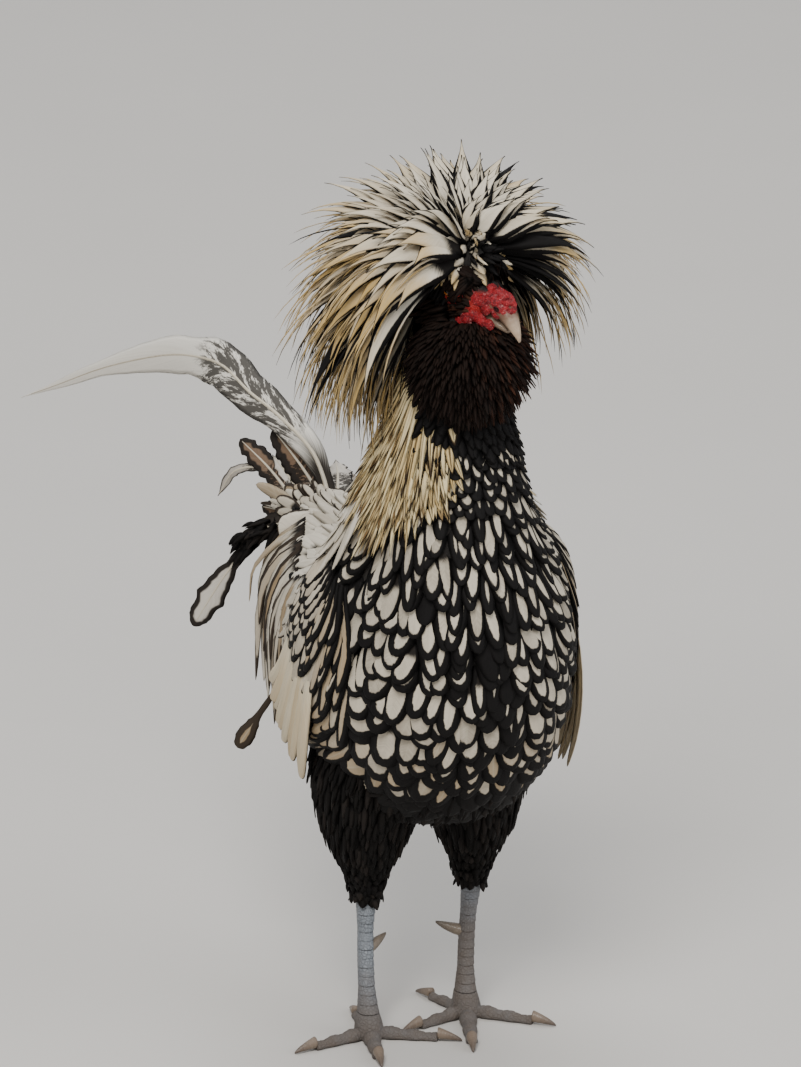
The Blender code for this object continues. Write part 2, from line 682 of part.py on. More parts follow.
def make_crest():
    """The crest: tiers of plumes that spring from the crown and fall all round the head."""
    rng = random.Random(SEED + 2)
    pieces = [ball("crest", CREST_AT, CREST_CORE)]
    for tier in CREST_TIERS:
        for k in range(tier.count):
            share = (k + 0.5 + rng.uniform(-0.25, 0.25)) / tier.count
            turn = (tier.window + (360 - 2 * tier.window) * share + 180) % 360 - 180
            sweep = turn + math.copysign(max(0.0, 64 - abs(turn)) * 0.5, turn)
            length = tier.reach * np.interp(abs(sweep), *CREST_SHORTENS) * rng.uniform(0.9, 1.1)
            yaw = math.radians(HEAD_YAW - 90 + turn)
            rise = tier.rise + rng.uniform(-5, 5)
            level = math.cos(math.radians(rise))
            out = np.array([math.cos(yaw) * level, math.sin(yaw) * level, math.sin(math.radians(rise))])
            root = np.array(CREST_AT) + out * np.array(CREST_CORE) * 0.86
            fall = tier.fall + rng.uniform(-8, 8)
            path, facing = crest_path(root, sweep + rng.uniform(-6, 6), rise, fall, length, 5)
            front = head_axes()[0] * [1, 1, 0] * max(0.0, math.cos(math.radians(turn * 0.75)))
            facing = unit(facing + out * 0.5 + front * 0.9)
            widths = np.array(PLUME_WIDTHS) * rng.uniform(0.9, 1.12)
            pieces.append(vane("plume", path, facing, widths, PLUME_THICK))
    cutters = [section_object("head_room", HEAD_SECTIONS, HEAD_SIDES, GAP)]
    for side in (-1, 1):
        room = EYE_RADIUS + LID_WIDTH + GAP
        cutters.append(ball("lid_room", on_side(EYE_AT, side), np.full(3, room + 0.4)))
        cutters.append(ball("ear_room", on_side(EAR_AT, side), np.full(3, EAR_RADIUS + 2.4)))
    return fuse("crest", pieces, cutters)


def make_beard():
    """Beard and muffs: rows of flat locks on a full body of plumage round the lower face."""
    rng = random.Random(SEED + 3)
    pieces = [ball("beard", BEARD_AT, BEARD_CORE)]
    for row in BEARD_ROWS:
        rise = math.radians(row.up)
        for k in range(row.count):
            share = (k + 0.5 + rng.uniform(-0.2, 0.2)) / row.count
            yaw = math.radians(HEAD_YAW * 0.5 - 90 + row.half_angle * (2 * share - 1))
            level = np.array([math.cos(yaw), math.sin(yaw), 0.0])
            out = level * math.cos(rise) + np.array([0, 0, math.sin(rise)])
            root = np.array(BEARD_AT) + out * np.array(BEARD_CORE) * 0.86
            fall = unit(level * row.lean - np.array([0, 0, 1.0])) * row.length * rng.uniform(0.85, 1.15)
            way = [root, root + out * 7 + fall * 0.35, root + out * 9 + fall]
            widths = np.array([6.0, 7.4, 5.6, 0]) * rng.uniform(0.9, 1.1)
            facing = np.broadcast_to(out + [0, 0, 0.2], (4, 3))
            pieces.append(lock("lock", curve(way, 4), facing, widths, 2.4))
    cutters = [
        section_object("head_room", HEAD_SECTIONS, HEAD_SIDES, GAP),
        body_length("neck_room", 0.0, NECK_CUT, NECK_SIDES, NECK_ROWS, GAP),
        ball("mouth_room", in_head(MOUTH_AT), MOUTH_ROOM, head_axes()),
    ]
    return fuse("beard", pieces, cutters)


def wing_place(a, b, side, free=False):
    """Where a place on the wing lies: a from the shoulder to the tip, b from the lower edge up."""
    phi = np.radians(np.interp(a, WING_STATIONS, WING_MIDDLE) + np.interp(a, *WING_HALF) * b)
    edge = 1 - 0.5 * b**2 if free else np.sqrt(np.maximum(1 - b**2, 0))
    return WING_START + WING_LENGTH * a + 0 * b, phi * side, np.interp(a, *WING_SWELL) * edge


def make_wing(side, name):
    """A folded wing lying along the flank, with tiers of coverts and drooping primaries."""
    rng = random.Random(SEED + 4)
    s, phi, swell = wing_place(np.linspace(0, 1, 8)[:, None], np.linspace(-1, 1, 5)[None, :], side)
    outer, _ = body_point(s, phi, 0.7 + swell)
    inner, _ = body_point(s, phi, 0.5)
    pieces = [shell(name, outer, inner)]
    t = np.linspace(0, 1, 4)
    for first, last, count, at, reach, lift, width in WING_TIERS:
        for k in range(count):
            share = (k + 0.5) / count
            a = first + (last - first) * share + reach * rng.uniform(0.94, 1.06) * t
            b = (at[0] + (at[1] - at[0]) * share) * (1 - 0.35 * reach * t)
            s, phi, swell = wing_place(a, b, side, free=True)
            height = swell * (1 - 0.3 * t) + lift + 1.2 * t - 1.5 * (t == 0)
            path, facing = body_point(s, phi, height)
            widths = np.array([3.5, 5.8, 4.8, 0]) * width
            pieces.append(lock("feather", path, facing, widths, 1.5))
    for s, phi, lift in PRIMARIES:
        angles = tuple(math.radians(value * side) for value in phi)
        pieces.append(lying("primary", s, angles, lift, PRIMARY_WIDTHS, 1.5))
    return fuse(name, pieces, [thigh_form(side, "thigh_room", 2 * GAP)])


def shell(name, outer, inner):
    """A closed form between an outer and an inner grid that share their rim."""
    rows, columns = outer.shape[:2]
    count = rows * columns
    points = np.vstack([outer.reshape(-1, 3), inner.reshape(-1, 3)])
    faces = []
    for i in range(rows - 1):
        for j in range(columns - 1):
            a, b = i * columns + j, i * columns + j + 1
            c, d = b + columns, a + columns
            faces += [(a, b, c), (a, c, d)]
            faces += [(a + count, c + count, b + count), (a + count, d + count, c + count)]
    rim = [i * columns for i in range(rows)]
    rim += [(rows - 1) * columns + j for j in range(1, columns)]
    rim += [i * columns + columns - 1 for i in range(rows - 2, -1, -1)]
    rim += [j for j in range(columns - 2, 0, -1)]
    for a, b in zip(rim, rim[1:] + rim[:1]):
        faces.append((a, b, b + count, a + count))
    obj = mesh_object(name, points, faces)
    face_outwards(obj)
    return obj


def sickle_blade():
    """The long white sickle, whole."""
    return blade("sickle", SICKLE, TAIL_FACING, SICKLE_WIDTHS, TAIL_THICK, SICKLE_STATIONS)


def make_tail():
    """The tail: a root behind the trunk, the ragged plumes, and the sickle as far as its cut."""
    pieces = [ball("tail", TAIL_AT, TAIL_ROOT), sickle_blade()]
    for points, widths, count in TAIL_PLUMES:
        pieces.append(blade("plume", points, TAIL_FACING, widths, TAIL_THICK, count))
    beyond = block("beyond", (-150, SICKLE_CUT - GAP / 2, 200), (50, 400, 330))
    return fuse("tail", pieces, [trunk_room(), beyond])


def make_sickle():
    """The outer length of the sickle, face to face with the tail."""
    before = block("before", (-60, 100, 200), (50, SICKLE_CUT + GAP / 2, 330))
    return fuse("sickle", [sickle_blade()], [before])


def thigh_form(side, name, swell=0.0):
    """The round of a thigh from the hock up into the body."""
    hock = np.array(HOCK[side])
    across, along_body = np.cos(turns(THIGH_SIDES)), np.sin(turns(THIGH_SIDES))
    rings = [
        np.stack(
            [
                hock[0] + side * out + (half_width + swell) * across,
                hock[1] + back + (half_depth + swell) * along_body,
                np.full(THIGH_SIDES, hock[2] + height),
            ],
            axis=-1,
        )
        for height, half_width, half_depth, out, back in THIGH_RINGS
    ]
    return loft(name, rings)


def make_thigh(side, name):
    """A feathered thigh down to the hock, parted from the trunk by a fine gap."""
    return fuse(name, [thigh_form(side, name)], [trunk_room()])


def shank_middle(side, share):
    """A point on the shank's bowed middle line, from the hock (0) to the ankle (1)."""
    top = np.array(HOCK[side]) - [0, 0, GAP]
    middle = top + (np.array(ANKLE[side]) - top) * share
    return middle + [0, SHANK_BOW * math.sin(math.pi * share), 0]


def make_shank(side, name, swell=0.0):
    """A bare shank ringed with raised plates on its front."""
    angles = turns(SHANK_SIDES)
    front = np.maximum(-np.sin(angles), 0)
    plate = 0.86
    rings = []
    for k in range(SCUTES):
        for place, raised in ((k, SCUTE_HIGH), (k + plate, SCUTE_LOW)):
            share = place / (SCUTES - 1 + plate)
            middle = shank_middle(side, share)
            radius = np.interp(share, SHANK_STATIONS, SHANK_RADII) + raised * front + swell
            wide, deep = radius * np.cos(angles), radius * SHANK_DEPTH * np.sin(angles)
            rings.append(middle + np.stack([wide, deep, 0 * wide], axis=-1))
    return loft(name, rings)


def toe_rings(start, end, wide, high):
    """A toe's rings: flat below, stepped above with its plates."""
    run = unit(end - start)
    angles = turns(8) + math.pi / 8
    rings = []
    for k, share in enumerate(np.linspace(0, 1, TOE_RINGS)):
        taper = (1 - 0.42 * share) * (1 + 0.1 * math.cos(share * math.pi * 6))
        top = high * taper + 0.35 * (k % 2)
        across, up = np.cos(angles) * wide * taper, np.sin(angles)
        z = np.select([up > 0.9, up > 0, up < -0.5], [top, top * (0.45 + 0.55 * up), 0.0], high * taper * 0.3)
        middle = start + (end - start) * share
        rings.append(np.stack([middle[0] - run[1] * across, middle[1] + run[0] * across, z], axis=-1))
    return np.array(rings)


def make_foot(side, name):
    """A foot standing flat: an ankle and four toes."""
    ankle = np.array(ANKLE[side])
    angles = turns(12)
    rings = []
    for z, radius, shift in ANKLE_RINGS:
        middle = [ankle[0], ankle[1] + shift, z]
        wide, deep = radius * np.cos(angles), radius * 1.15 * np.sin(angles)
        rings.append(middle + np.stack([wide, deep, 0 * wide], axis=-1))
    pieces = [loft(name, rings)]
    for tip, wide, high in TOES[side]:
        pieces.append(loft("toe", toe_rings(ankle[:2] + TOE_ROOT, np.array(tip, float), wide, high)))
    return fuse(name, pieces)


def make_claw(side, index, name):
    """A claw, curved down in front of its toe."""
    tip, wide, high = TOES[side][index]
    run = unit(np.array(tip, float) - ANKLE[side][:2] - TOE_ROOT)
    angles = turns(7)
    rings = []
    for share in (0, 0.35, 0.7, 1.0):
        radius = wide * 0.52 * (1 - share) ** 0.7 + 0.45
        z = 0.6 + radius + (high * 0.5 - 1.6) * (1 - share**1.6) * 0.5
        across, up = np.cos(angles) * radius, np.sin(angles) * radius * 1.15
        middle = np.array(tip) + run * (GAP + CLAW_LENGTH * share)
        rings.append(
            np.stack(
                [middle[0] - run[1] * across, middle[1] + run[0] * across, np.maximum(z + up, 0.5)],
                axis=-1,
            )
        )
    return loft(name, rings)


def make_spur(side, name):
    """A short blunt spur on the inner rear of the shank."""
    out = unit(np.array([-side * 0.82, 0.42, 0.12]))
    across = unit(np.cross(out, [0, 0, 1.0]))
    up = np.cross(across, out)
    angles = turns(8)[:, None]
    rings = []
    for share, radius in SPUR_RINGS:
        middle = shank_middle(side, SPUR_PLACE) + out * SPUR_LENGTH * share + [0, 0, 2.5 * share**2]
        rings.append(middle + across * np.cos(angles) * radius + up * np.sin(angles) * radius)
    return fuse(name, [loft(name, rings)], [make_shank(side, "shank_room", GAP)])


def main():
    """Builds every node of the bird on one empty."""
    for obj in list(bpy.data.objects):
        bpy.data.objects.remove(obj)
    bird = bpy.data.objects.new("bird", None)
    bpy.context.scene.collection.objects.link(bird)
    bird.location = Vector(BIRD_PLACE) * MM
    look = {name: finish_of(name, *values) for name, values in COLOURS.items()}
    finish_node(make_torso(), look["plume_white"])
    finish_node(make_neck(), look["plume_cream"])
    finish_node(make_head(), look["red_skin"])
    finish_node(make_upper_bill(), look["horn"])
    finish_node(section_object("lower_beak", LOWER_BILL, BILL_SIDES), look["horn"])
    finish_node(make_comb(), look["red_skin"])
    finish_node(make_crest(), look["plume_cream"])
    finish_node(make_beard(), look["plume_black"])
    finish_node(make_tail(), look["plume_white"])
    finish_node(make_sickle(), look["plume_white"])
    for side, end in ((1, "_l"), (-1, "_r")):
        eye = ball("eye" + end, on_side(EYE_AT, side), np.full(3, EYE_RADIUS))
        finish_node(eye, look["iris"])
        finish_node(make_wattle(side, "wattle" + end), look["red_skin"])
        finish_node(make_wing(side, "wing" + end), look["plume_white"])
        finish_node(make_thigh(side, "thigh" + end), look["plume_black"])
        finish_node(make_shank(side, "shank" + end), look["shank_slate"])
        finish_node(make_spur(side, "spur" + end), look["horn"])
        finish_node(make_foot(side, "foot" + end), look["shank_slate"])
        for index, toe in enumerate(TOE_NAMES):
            finish_node(make_claw(side, index, "claw_" + toe + end), look["horn"])


main()
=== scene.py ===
"""The looks of a crested, bearded, silver-laced rooster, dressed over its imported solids.

Sizes are millimetres in the bird's own frame, the one its solids are drawn in: it faces -Y, its left
side is +X and the ground is z = 0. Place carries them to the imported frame, in metres. A place on the
plumage outline is (s, phi): s counts the outline's rings from the top of the neck to the tail, and
phi turns from the breast and belly (0) to the left side (90 degrees) and on to the back.
"""

import logging
import math
from dataclasses import dataclass, field
from enum import Enum
from typing import Any, Callable, Sequence

import bpy
import numpy as np
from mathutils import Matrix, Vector


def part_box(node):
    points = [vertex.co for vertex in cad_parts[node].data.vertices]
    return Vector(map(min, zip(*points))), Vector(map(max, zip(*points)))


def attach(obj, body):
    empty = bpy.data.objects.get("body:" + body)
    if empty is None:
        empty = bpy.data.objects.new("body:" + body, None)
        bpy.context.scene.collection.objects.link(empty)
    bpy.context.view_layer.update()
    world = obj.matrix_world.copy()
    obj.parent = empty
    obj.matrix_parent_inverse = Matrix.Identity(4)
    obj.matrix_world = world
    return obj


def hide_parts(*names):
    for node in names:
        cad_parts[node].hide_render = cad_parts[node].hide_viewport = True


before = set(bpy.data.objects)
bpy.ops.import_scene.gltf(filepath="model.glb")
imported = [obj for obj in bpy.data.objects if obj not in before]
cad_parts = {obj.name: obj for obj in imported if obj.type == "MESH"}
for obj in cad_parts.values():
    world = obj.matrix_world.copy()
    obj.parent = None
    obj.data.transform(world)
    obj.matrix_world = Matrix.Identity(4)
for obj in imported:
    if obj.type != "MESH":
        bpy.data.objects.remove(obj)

Array = np.ndarray
Colour = tuple[float, float, float]
Triple = tuple[float, float, float]
Pair = tuple[float, float]
Row = tuple[float, ...]
Rows = tuple[Row, ...]
Steps = tuple[Row, Row]

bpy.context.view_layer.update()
MM = 0.001
UP = np.array([0, 0, 1.0])
NO_RIM = -1.0
ALL_DARK = 30.0
STEP = 0.02
SEED = 11
BODY = "root"
LOG = logging.getLogger("rooster")


class Side(Enum):
    """A side of the bird."""

    RIGHT = -1
    LEFT = 1

    @property
    def end(self) -> str:
        """What the side adds to a name."""
        return "_l" if self is Side.LEFT else "_r"


def unit(vectors: Array) -> Array:
    """The vectors at length one."""
    return vectors / np.maximum(np.linalg.norm(vectors, axis=-1, keepdims=True), 1e-9)


def smooth(low: float, high: float, value: Any) -> Array:
    """An S-shaped step from 0 at low to 1 at high: 3t^2 - 2t^3 of the clipped share t."""
    t = np.clip((np.asarray(value, float) - low) / (high - low), 0, 1)
    return t * t * (3 - 2 * t)


def turns(count: int) -> Array:
    """Evenly spread angles round a circle."""
    return np.arange(count) * 2 * math.pi / count


def along(rows: Any, place: Any) -> Array:
    """The rows' values at places between them, on a cubic Hermite curve through every row.

    Args:
        rows: values at whole places, one row each.
        place: where to read, counted in rows.

    Returns:
        One row of values for each place.
    """
    rows = np.asarray(rows, float)
    place = np.clip(np.asarray(place, float), 0, len(rows) - 1)
    low = np.minimum(place.astype(int), len(rows) - 2)
    share = (place - low)[..., None]
    slope = np.gradient(rows, axis=0)
    cube, square = share**3, share**2
    return (
        rows[low] * (2 * cube - 3 * square + 1)
        + rows[low + 1] * (3 * square - 2 * cube)
        + slope[low] * (cube - 2 * square + share)
        + slope[low + 1] * (cube - square)
    )


def curve(points: Any, count: int) -> Array:
    """Evenly counted points on a smooth curve through the given ones."""
    return along(points, np.linspace(0, len(points) - 1, count))


def grid_faces(rows: int, columns: int, round_it: bool = False) -> Array:
    """Four-cornered faces of a grid, whose rows close into rings where round_it is set.

    Args:
        rows: how many rows of points.
        columns: how many points a row.
        round_it: whether the last point of a row joins the first.

    Returns:
        Faces as rows of four point numbers, turned to face run x side.
    """
    i = np.arange(rows - 1)[:, None]
    j = np.arange(columns if round_it else columns - 1)[None, :]
    a, b = i * columns + j, i * columns + (j + 1) % columns
    return np.stack([a, a + columns, b + columns, b], axis=-1).reshape(-1, 4)


@dataclass
class Surface:
    """A mesh in the bird's millimetres: points, faces, maps and values held at the points.

    A face is four point numbers, the last of them -1 on a triangle.
    """

    points: Array
    faces: Array
    maps: dict[str, Array] = field(default_factory=dict)
    values: dict[str, Array] = field(default_factory=dict)

    @classmethod
    def joined(cls, parts: Sequence["Surface"]) -> "Surface":
        """One surface of several, which keep their maps and values.

        Args:
            parts: surfaces with the same maps and values.

        Returns:
            The joined surface.
        """
        starts = np.cumsum([0] + [len(part.points) for part in parts[:-1]])
        faces = [np.where(part.faces < 0, -1, part.faces + start) for part, start in zip(parts, starts)]
        return cls(
            np.concatenate([part.points for part in parts]),
            np.concatenate(faces),
            {key: np.concatenate([part.maps[key] for part in parts]) for key in parts[0].maps},
            {key: np.concatenate([part.values[key] for part in parts]) for key in parts[0].values},
        )

    @classmethod
    def tube(cls, rings: Array) -> "Surface":
        """A closed skin over rings of equal count, each end drawn to a point at its ring's middle.

        Args:
            rings: points of each ring, in an array of rings, sides and coordinates.

        Returns:
            The surface, its faces turned outwards.
        """
        count, sides = rings.shape[:2]
        points = np.vstack([rings.reshape(-1, 3), rings[0].mean(0), rings[-1].mean(0)])
        j = np.arange(sides)
        after = (j + 1) % sides
        first, last = np.full(sides, count * sides), np.full(sides, count * sides + 1)
        none = np.full(sides, -1)
        caps = [
            np.stack([first, j, after, none], axis=1),
            np.stack([last, (count - 1) * sides + after, (count - 1) * sides + j, none], axis=1),
        ]
        made = cls(points, np.vstack([grid_faces(count, sides, True), *caps]))
        return made.outwards()

    def outwards(self) -> "Surface":
        """The closed surface with its faces turned so that what it holds counts as positive.

        Returns:
            The surface itself.
        """
        a, b, c = np.moveaxis(self.triangles_of_faces(), 1, 0)
        if np.einsum("ij,ij->", a, np.cross(b, c)) < 0:
            whole = self.faces[:, 3] >= 0
            self.faces[whole] = self.faces[whole][:, ::-1]
            self.faces[~whole] = self.faces[~whole][:, [2, 1, 0, 3]]
        return self

    def triangles_of_faces(self) -> Array:
        """The corners of every triangle, a four-cornered face counting as two.

        Returns:
            Triangles, corners and coordinates.
        """
        whole = self.faces[self.faces[:, 3] >= 0]
        triangles = np.vstack([self.faces[:, :3], whole[:, [0, 2, 3]]])
        return self.points[triangles]

    def mesh(self, name: str, shift: Any = (0.0, 0.0, 0.0)) -> bpy.types.Mesh:
        """A Blender mesh of the surface in metres, moved by the shift.

        Args:
            name: the mesh's name.
            shift: how far it is moved, in metres.

        Returns:
            The mesh.
        """
        mesh = bpy.data.meshes.new(name)
        loops = self.faces[self.faces >= 0].astype(np.int32)
        totals = (self.faces >= 0).sum(axis=1)
        mesh.vertices.add(len(self.points))
        mesh.vertices.foreach_set("co", (self.points * MM + np.asarray(shift)).astype(np.float32).ravel())
        mesh.loops.add(len(loops))
        mesh.loops.foreach_set("vertex_index", loops)
        mesh.polygons.add(len(self.faces))
        mesh.polygons.foreach_set("loop_start", (np.cumsum(totals) - totals).astype(np.int32))
        mesh.update(calc_edges=True)
        for key, places in self.maps.items():
            mesh.uv_layers.new(name=key).uv.foreach_set("vector", places[loops].astype(np.float32).ravel())
        for key, value in self.values.items():
            mesh.attributes.new(key, "FLOAT", "POINT").data.foreach_set("value", value.astype(np.float32))
        mesh.shade_smooth()
        return mesh


def union(parts: Sequence[Surface], cutters: Sequence[Surface] = ()) -> Surface:
    """One closed surface that holds all that the closed parts hold, less the cutters.

    Args:
        parts: closed surfaces.
        cutters: closed surfaces that are taken away.

    Returns:
        The closed surface.
    """
    made = [bpy.data.objects.new("part", part.mesh("part")) for part in (*parts, *cutters)]
    for index, obj in enumerate(made):
        bpy.context.scene.collection.objects.link(obj)
        if index:
            join = made[0].modifiers.new("Join", "BOOLEAN")
            join.operation = "UNION" if index < len(parts) else "DIFFERENCE"
            join.solver = "MANIFOLD"
            join.object = obj
    whole = bpy.data.meshes.new_from_object(made[0].evaluated_get(bpy.context.evaluated_depsgraph_get()))
    whole.calc_loop_triangles()
    points = np.empty(len(whole.vertices) * 3, np.float32)
    whole.vertices.foreach_get("co", points)
    triangles = np.empty(len(whole.loop_triangles) * 3, np.int32)
    whole.loop_triangles.foreach_get("vertices", triangles)
    for obj in made:
        mesh = obj.data
        bpy.data.objects.remove(obj)
        bpy.data.meshes.remove(mesh)
    bpy.data.meshes.remove(whole)
    faces = np.column_stack([triangles.reshape(-1, 3), np.full(len(triangles) // 3, -1)])
    return Surface(points.reshape(-1, 3).astype(float) / MM, faces)


def ellipsoid(
    centre: Any, radii: Any, axes: Array | None = None, rows: int = 18, lumps: float = 0.0
) -> Surface:
    """An ellipsoid on a grid of latitude and longitude, its radius rippled by crossing sine waves.

    Args:
        centre: its middle.
        radii: its three radii, along the rows of axes.
        axes: three directions, or None for the bird's own.
        rows: how many rings of latitude.
        lumps: the ripples' height as a share of the radius.

    Returns:
        The closed surface.
    """
    rise = (np.arange(rows) + 0.5)[:, None] / rows * math.pi
    turn = turns(rows * 2)[None, :]
    ripple = 1 + lumps * (np.sin(turn * 5 + rise * 3) * np.sin(rise * 6) + 0.6 * np.sin(turn * 9 - rise * 5))
    ball = np.stack([np.cos(rise) + 0 * turn, np.sin(rise) * np.cos(turn), np.sin(rise) * np.sin(turn)], -1)
    points = ball * ripple[..., None] * np.asarray(radii, float)
    if axes is not None:
        points = points @ axes
    return Surface.tube(points + np.asarray(centre, float))


PLAIN_FEATHER = {"lace": NO_RIM, "tone": 0.5, "warm": 0.0, "base": 0.2}


@dataclass(frozen=True)
class FeatherForm:
    """The make of one kind of feather: a thin closed vane, cupped across and round or sharp at its tip."""

    rows: int = 8
    columns: int = 5
    root: float = 0.4
    widest: float = 0.45
    full: float = 4.0
    point: float = 0.5
    crowd: float = 1.7
    strand: float = 1.0
    strand_from: float = 0.35
    strand_to: float = 0.8
    cup: float = 0.16
    thick: float = 0.4
    patch: float = 0.003

    def stations(self) -> Array:
        """The rows' places from root (0) to tip (1), closer together towards the tip."""
        return 1 - (1 - np.linspace(0, 1, self.rows)) ** self.crowd

    def outline(self) -> Array:
        """Share of the half width at each row: a smooth rise from the root to the widest place, times
        (1 - v^full)^point, times a fall to the strand's share that the tip is drawn out to.

        Returns:
            One share a row.
        """
        v = self.stations()
        rise = self.root + (1 - self.root) * smooth(0, self.widest, v)
        drawn = 1 - (1 - self.strand) * smooth(self.strand_from, self.strand_to, v)
        return np.maximum(rise * (1 - v**self.full) ** self.point * drawn, 0.04)

    def faces(self) -> tuple[Array, int]:
        """Faces of one feather, whose two sides share their rim, and how many points it has.

        Returns:
            The faces, and the count of points.
        """
        inner_rows, inner_columns = self.rows - 2, self.columns - 2
        top = grid_faces(self.rows, self.columns)
        below = np.arange(self.rows * self.columns).reshape(self.rows, self.columns)
        start = self.rows * self.columns
        inner = start + np.arange(inner_rows * inner_columns)
        below[1:-1, 1:-1] = inner.reshape(inner_rows, inner_columns)
        return np.vstack([top, below.ravel()[top][:, ::-1]]), start + len(inner)

    def grow(self, path: Array, facing: Array, wide: Array, bake: Array, values: dict[str, Any]) -> Surface:
        """Every feather of a set at once: a row of points across each station of its path.

        A point x of the half width from the shaft is moved along the side direction by x times the
        half width and down by cup times the half width times x squared; the two faces stand thick
        times (1 - x^2) apart.

        Args:
            path: the shafts' points, as feathers, rows and coordinates.
            facing: the direction that each feather's face looks in, at each row or once a feather.
            wide: half widths, as feathers or as feathers and rows.
            bake: each root's place on the map for baking.
            values: named values, one a feather or one for all.

        Returns:
            The feathers' surface with its maps, its distance to the rim in mm and its values.
        """
        count = len(path)
        v, x = self.stations(), np.linspace(-1, 1, self.columns)
        facing = np.broadcast_to(facing if facing.ndim == 3 else facing[:, None], path.shape)
        wide = np.asarray(wide, float)
        wide = wide[:, None] * self.outline() if wide.ndim == 1 else wide
        run = unit(np.gradient(path, axis=1))
        side = unit(np.cross(facing, run))
        high = np.cross(run, side)[:, :, None]
        across = (wide[:, :, None] * x)[..., None]
        bow = (-self.cup * wide[:, :, None] * x**2)[..., None]
        middle = path[:, :, None] + side[:, :, None] * across + high * bow
        ends = np.ones(self.rows)
        ends[[0, -1]] = 0
        swell = (self.thick / 2 * ends[:, None] * (1 - x**2))[None, :, :, None] * high
        length = np.linalg.norm(np.diff(path, axis=1), axis=2).sum(axis=1)
        beside = np.maximum(wide[:, :, None] * (1 - abs(x)), 1e-4)
        before = np.maximum((1 - v) * length[:, None], 1e-4)[:, :, None]
        rim = beside * before / (beside**3 + before**3) ** (1 / 3)
        u = np.broadcast_to((x + 1) / 2, rim.shape)
        flat = np.stack([u, np.broadcast_to(v[:, None], rim.shape)], axis=-1)

        def both(grid: Array, below: Array | None = None) -> Array:
            """The grid's points and, after them, the inner ones of the lower face.

            Args:
                grid: what the upper face's points hold.
                below: what the lower face's hold, where it differs.

            Returns:
                One row a feather.
            """
            lower = (grid if below is None else below)[:, 1:-1, 1:-1]
            tail = grid.shape[3:]
            return np.concatenate([grid.reshape(count, -1, *tail), lower.reshape(count, -1, *tail)], axis=1)

        faces, points = self.faces()
        faces = (faces[None] + np.arange(count)[:, None, None] * points).reshape(-1, 4)
        feather_map = both(flat)
        held = {"rim": both(rim).ravel()}
        for key, value in {**PLAIN_FEATHER, **values}.items():
            held[key] = np.repeat(np.broadcast_to(np.asarray(value, float), (count,)), points)
        maps = {
            "FeatherUV": feather_map.reshape(-1, 2),
            "OFBake": (bake[:, None] + (feather_map - 0.5) * self.patch).reshape(-1, 2),
        }
        return Surface(both(middle + swell, middle - swell).reshape(-1, 3), faces, maps, held)


@dataclass(frozen=True)
class Place:
    """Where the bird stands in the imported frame, in metres."""

    shift: Triple

    @classmethod
    def from_frame(cls, head: "HeadForm") -> "Place":
        """The place that puts the right eye's middle where its node has it.

        Args:
            head: the head, for the eye's place on the bird.

        Returns:
            The place.
        """
        low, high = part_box("eye_r")
        middle = np.array((low + high) / 2)
        return cls(tuple(middle - head.on_side(head.eye_at, Side.RIGHT) * MM))

    def metres(self, point: Any) -> Array:
        """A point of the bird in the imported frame."""
        return np.asarray(point, float) * MM + np.array(self.shift)

    def span(self, first: Any, last: Any) -> tuple[Triple, Triple]:
        """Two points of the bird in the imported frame, as plain numbers."""
        start, end = (tuple(float(c) for c in self.metres(point)) for point in (first, last))
        return start, end


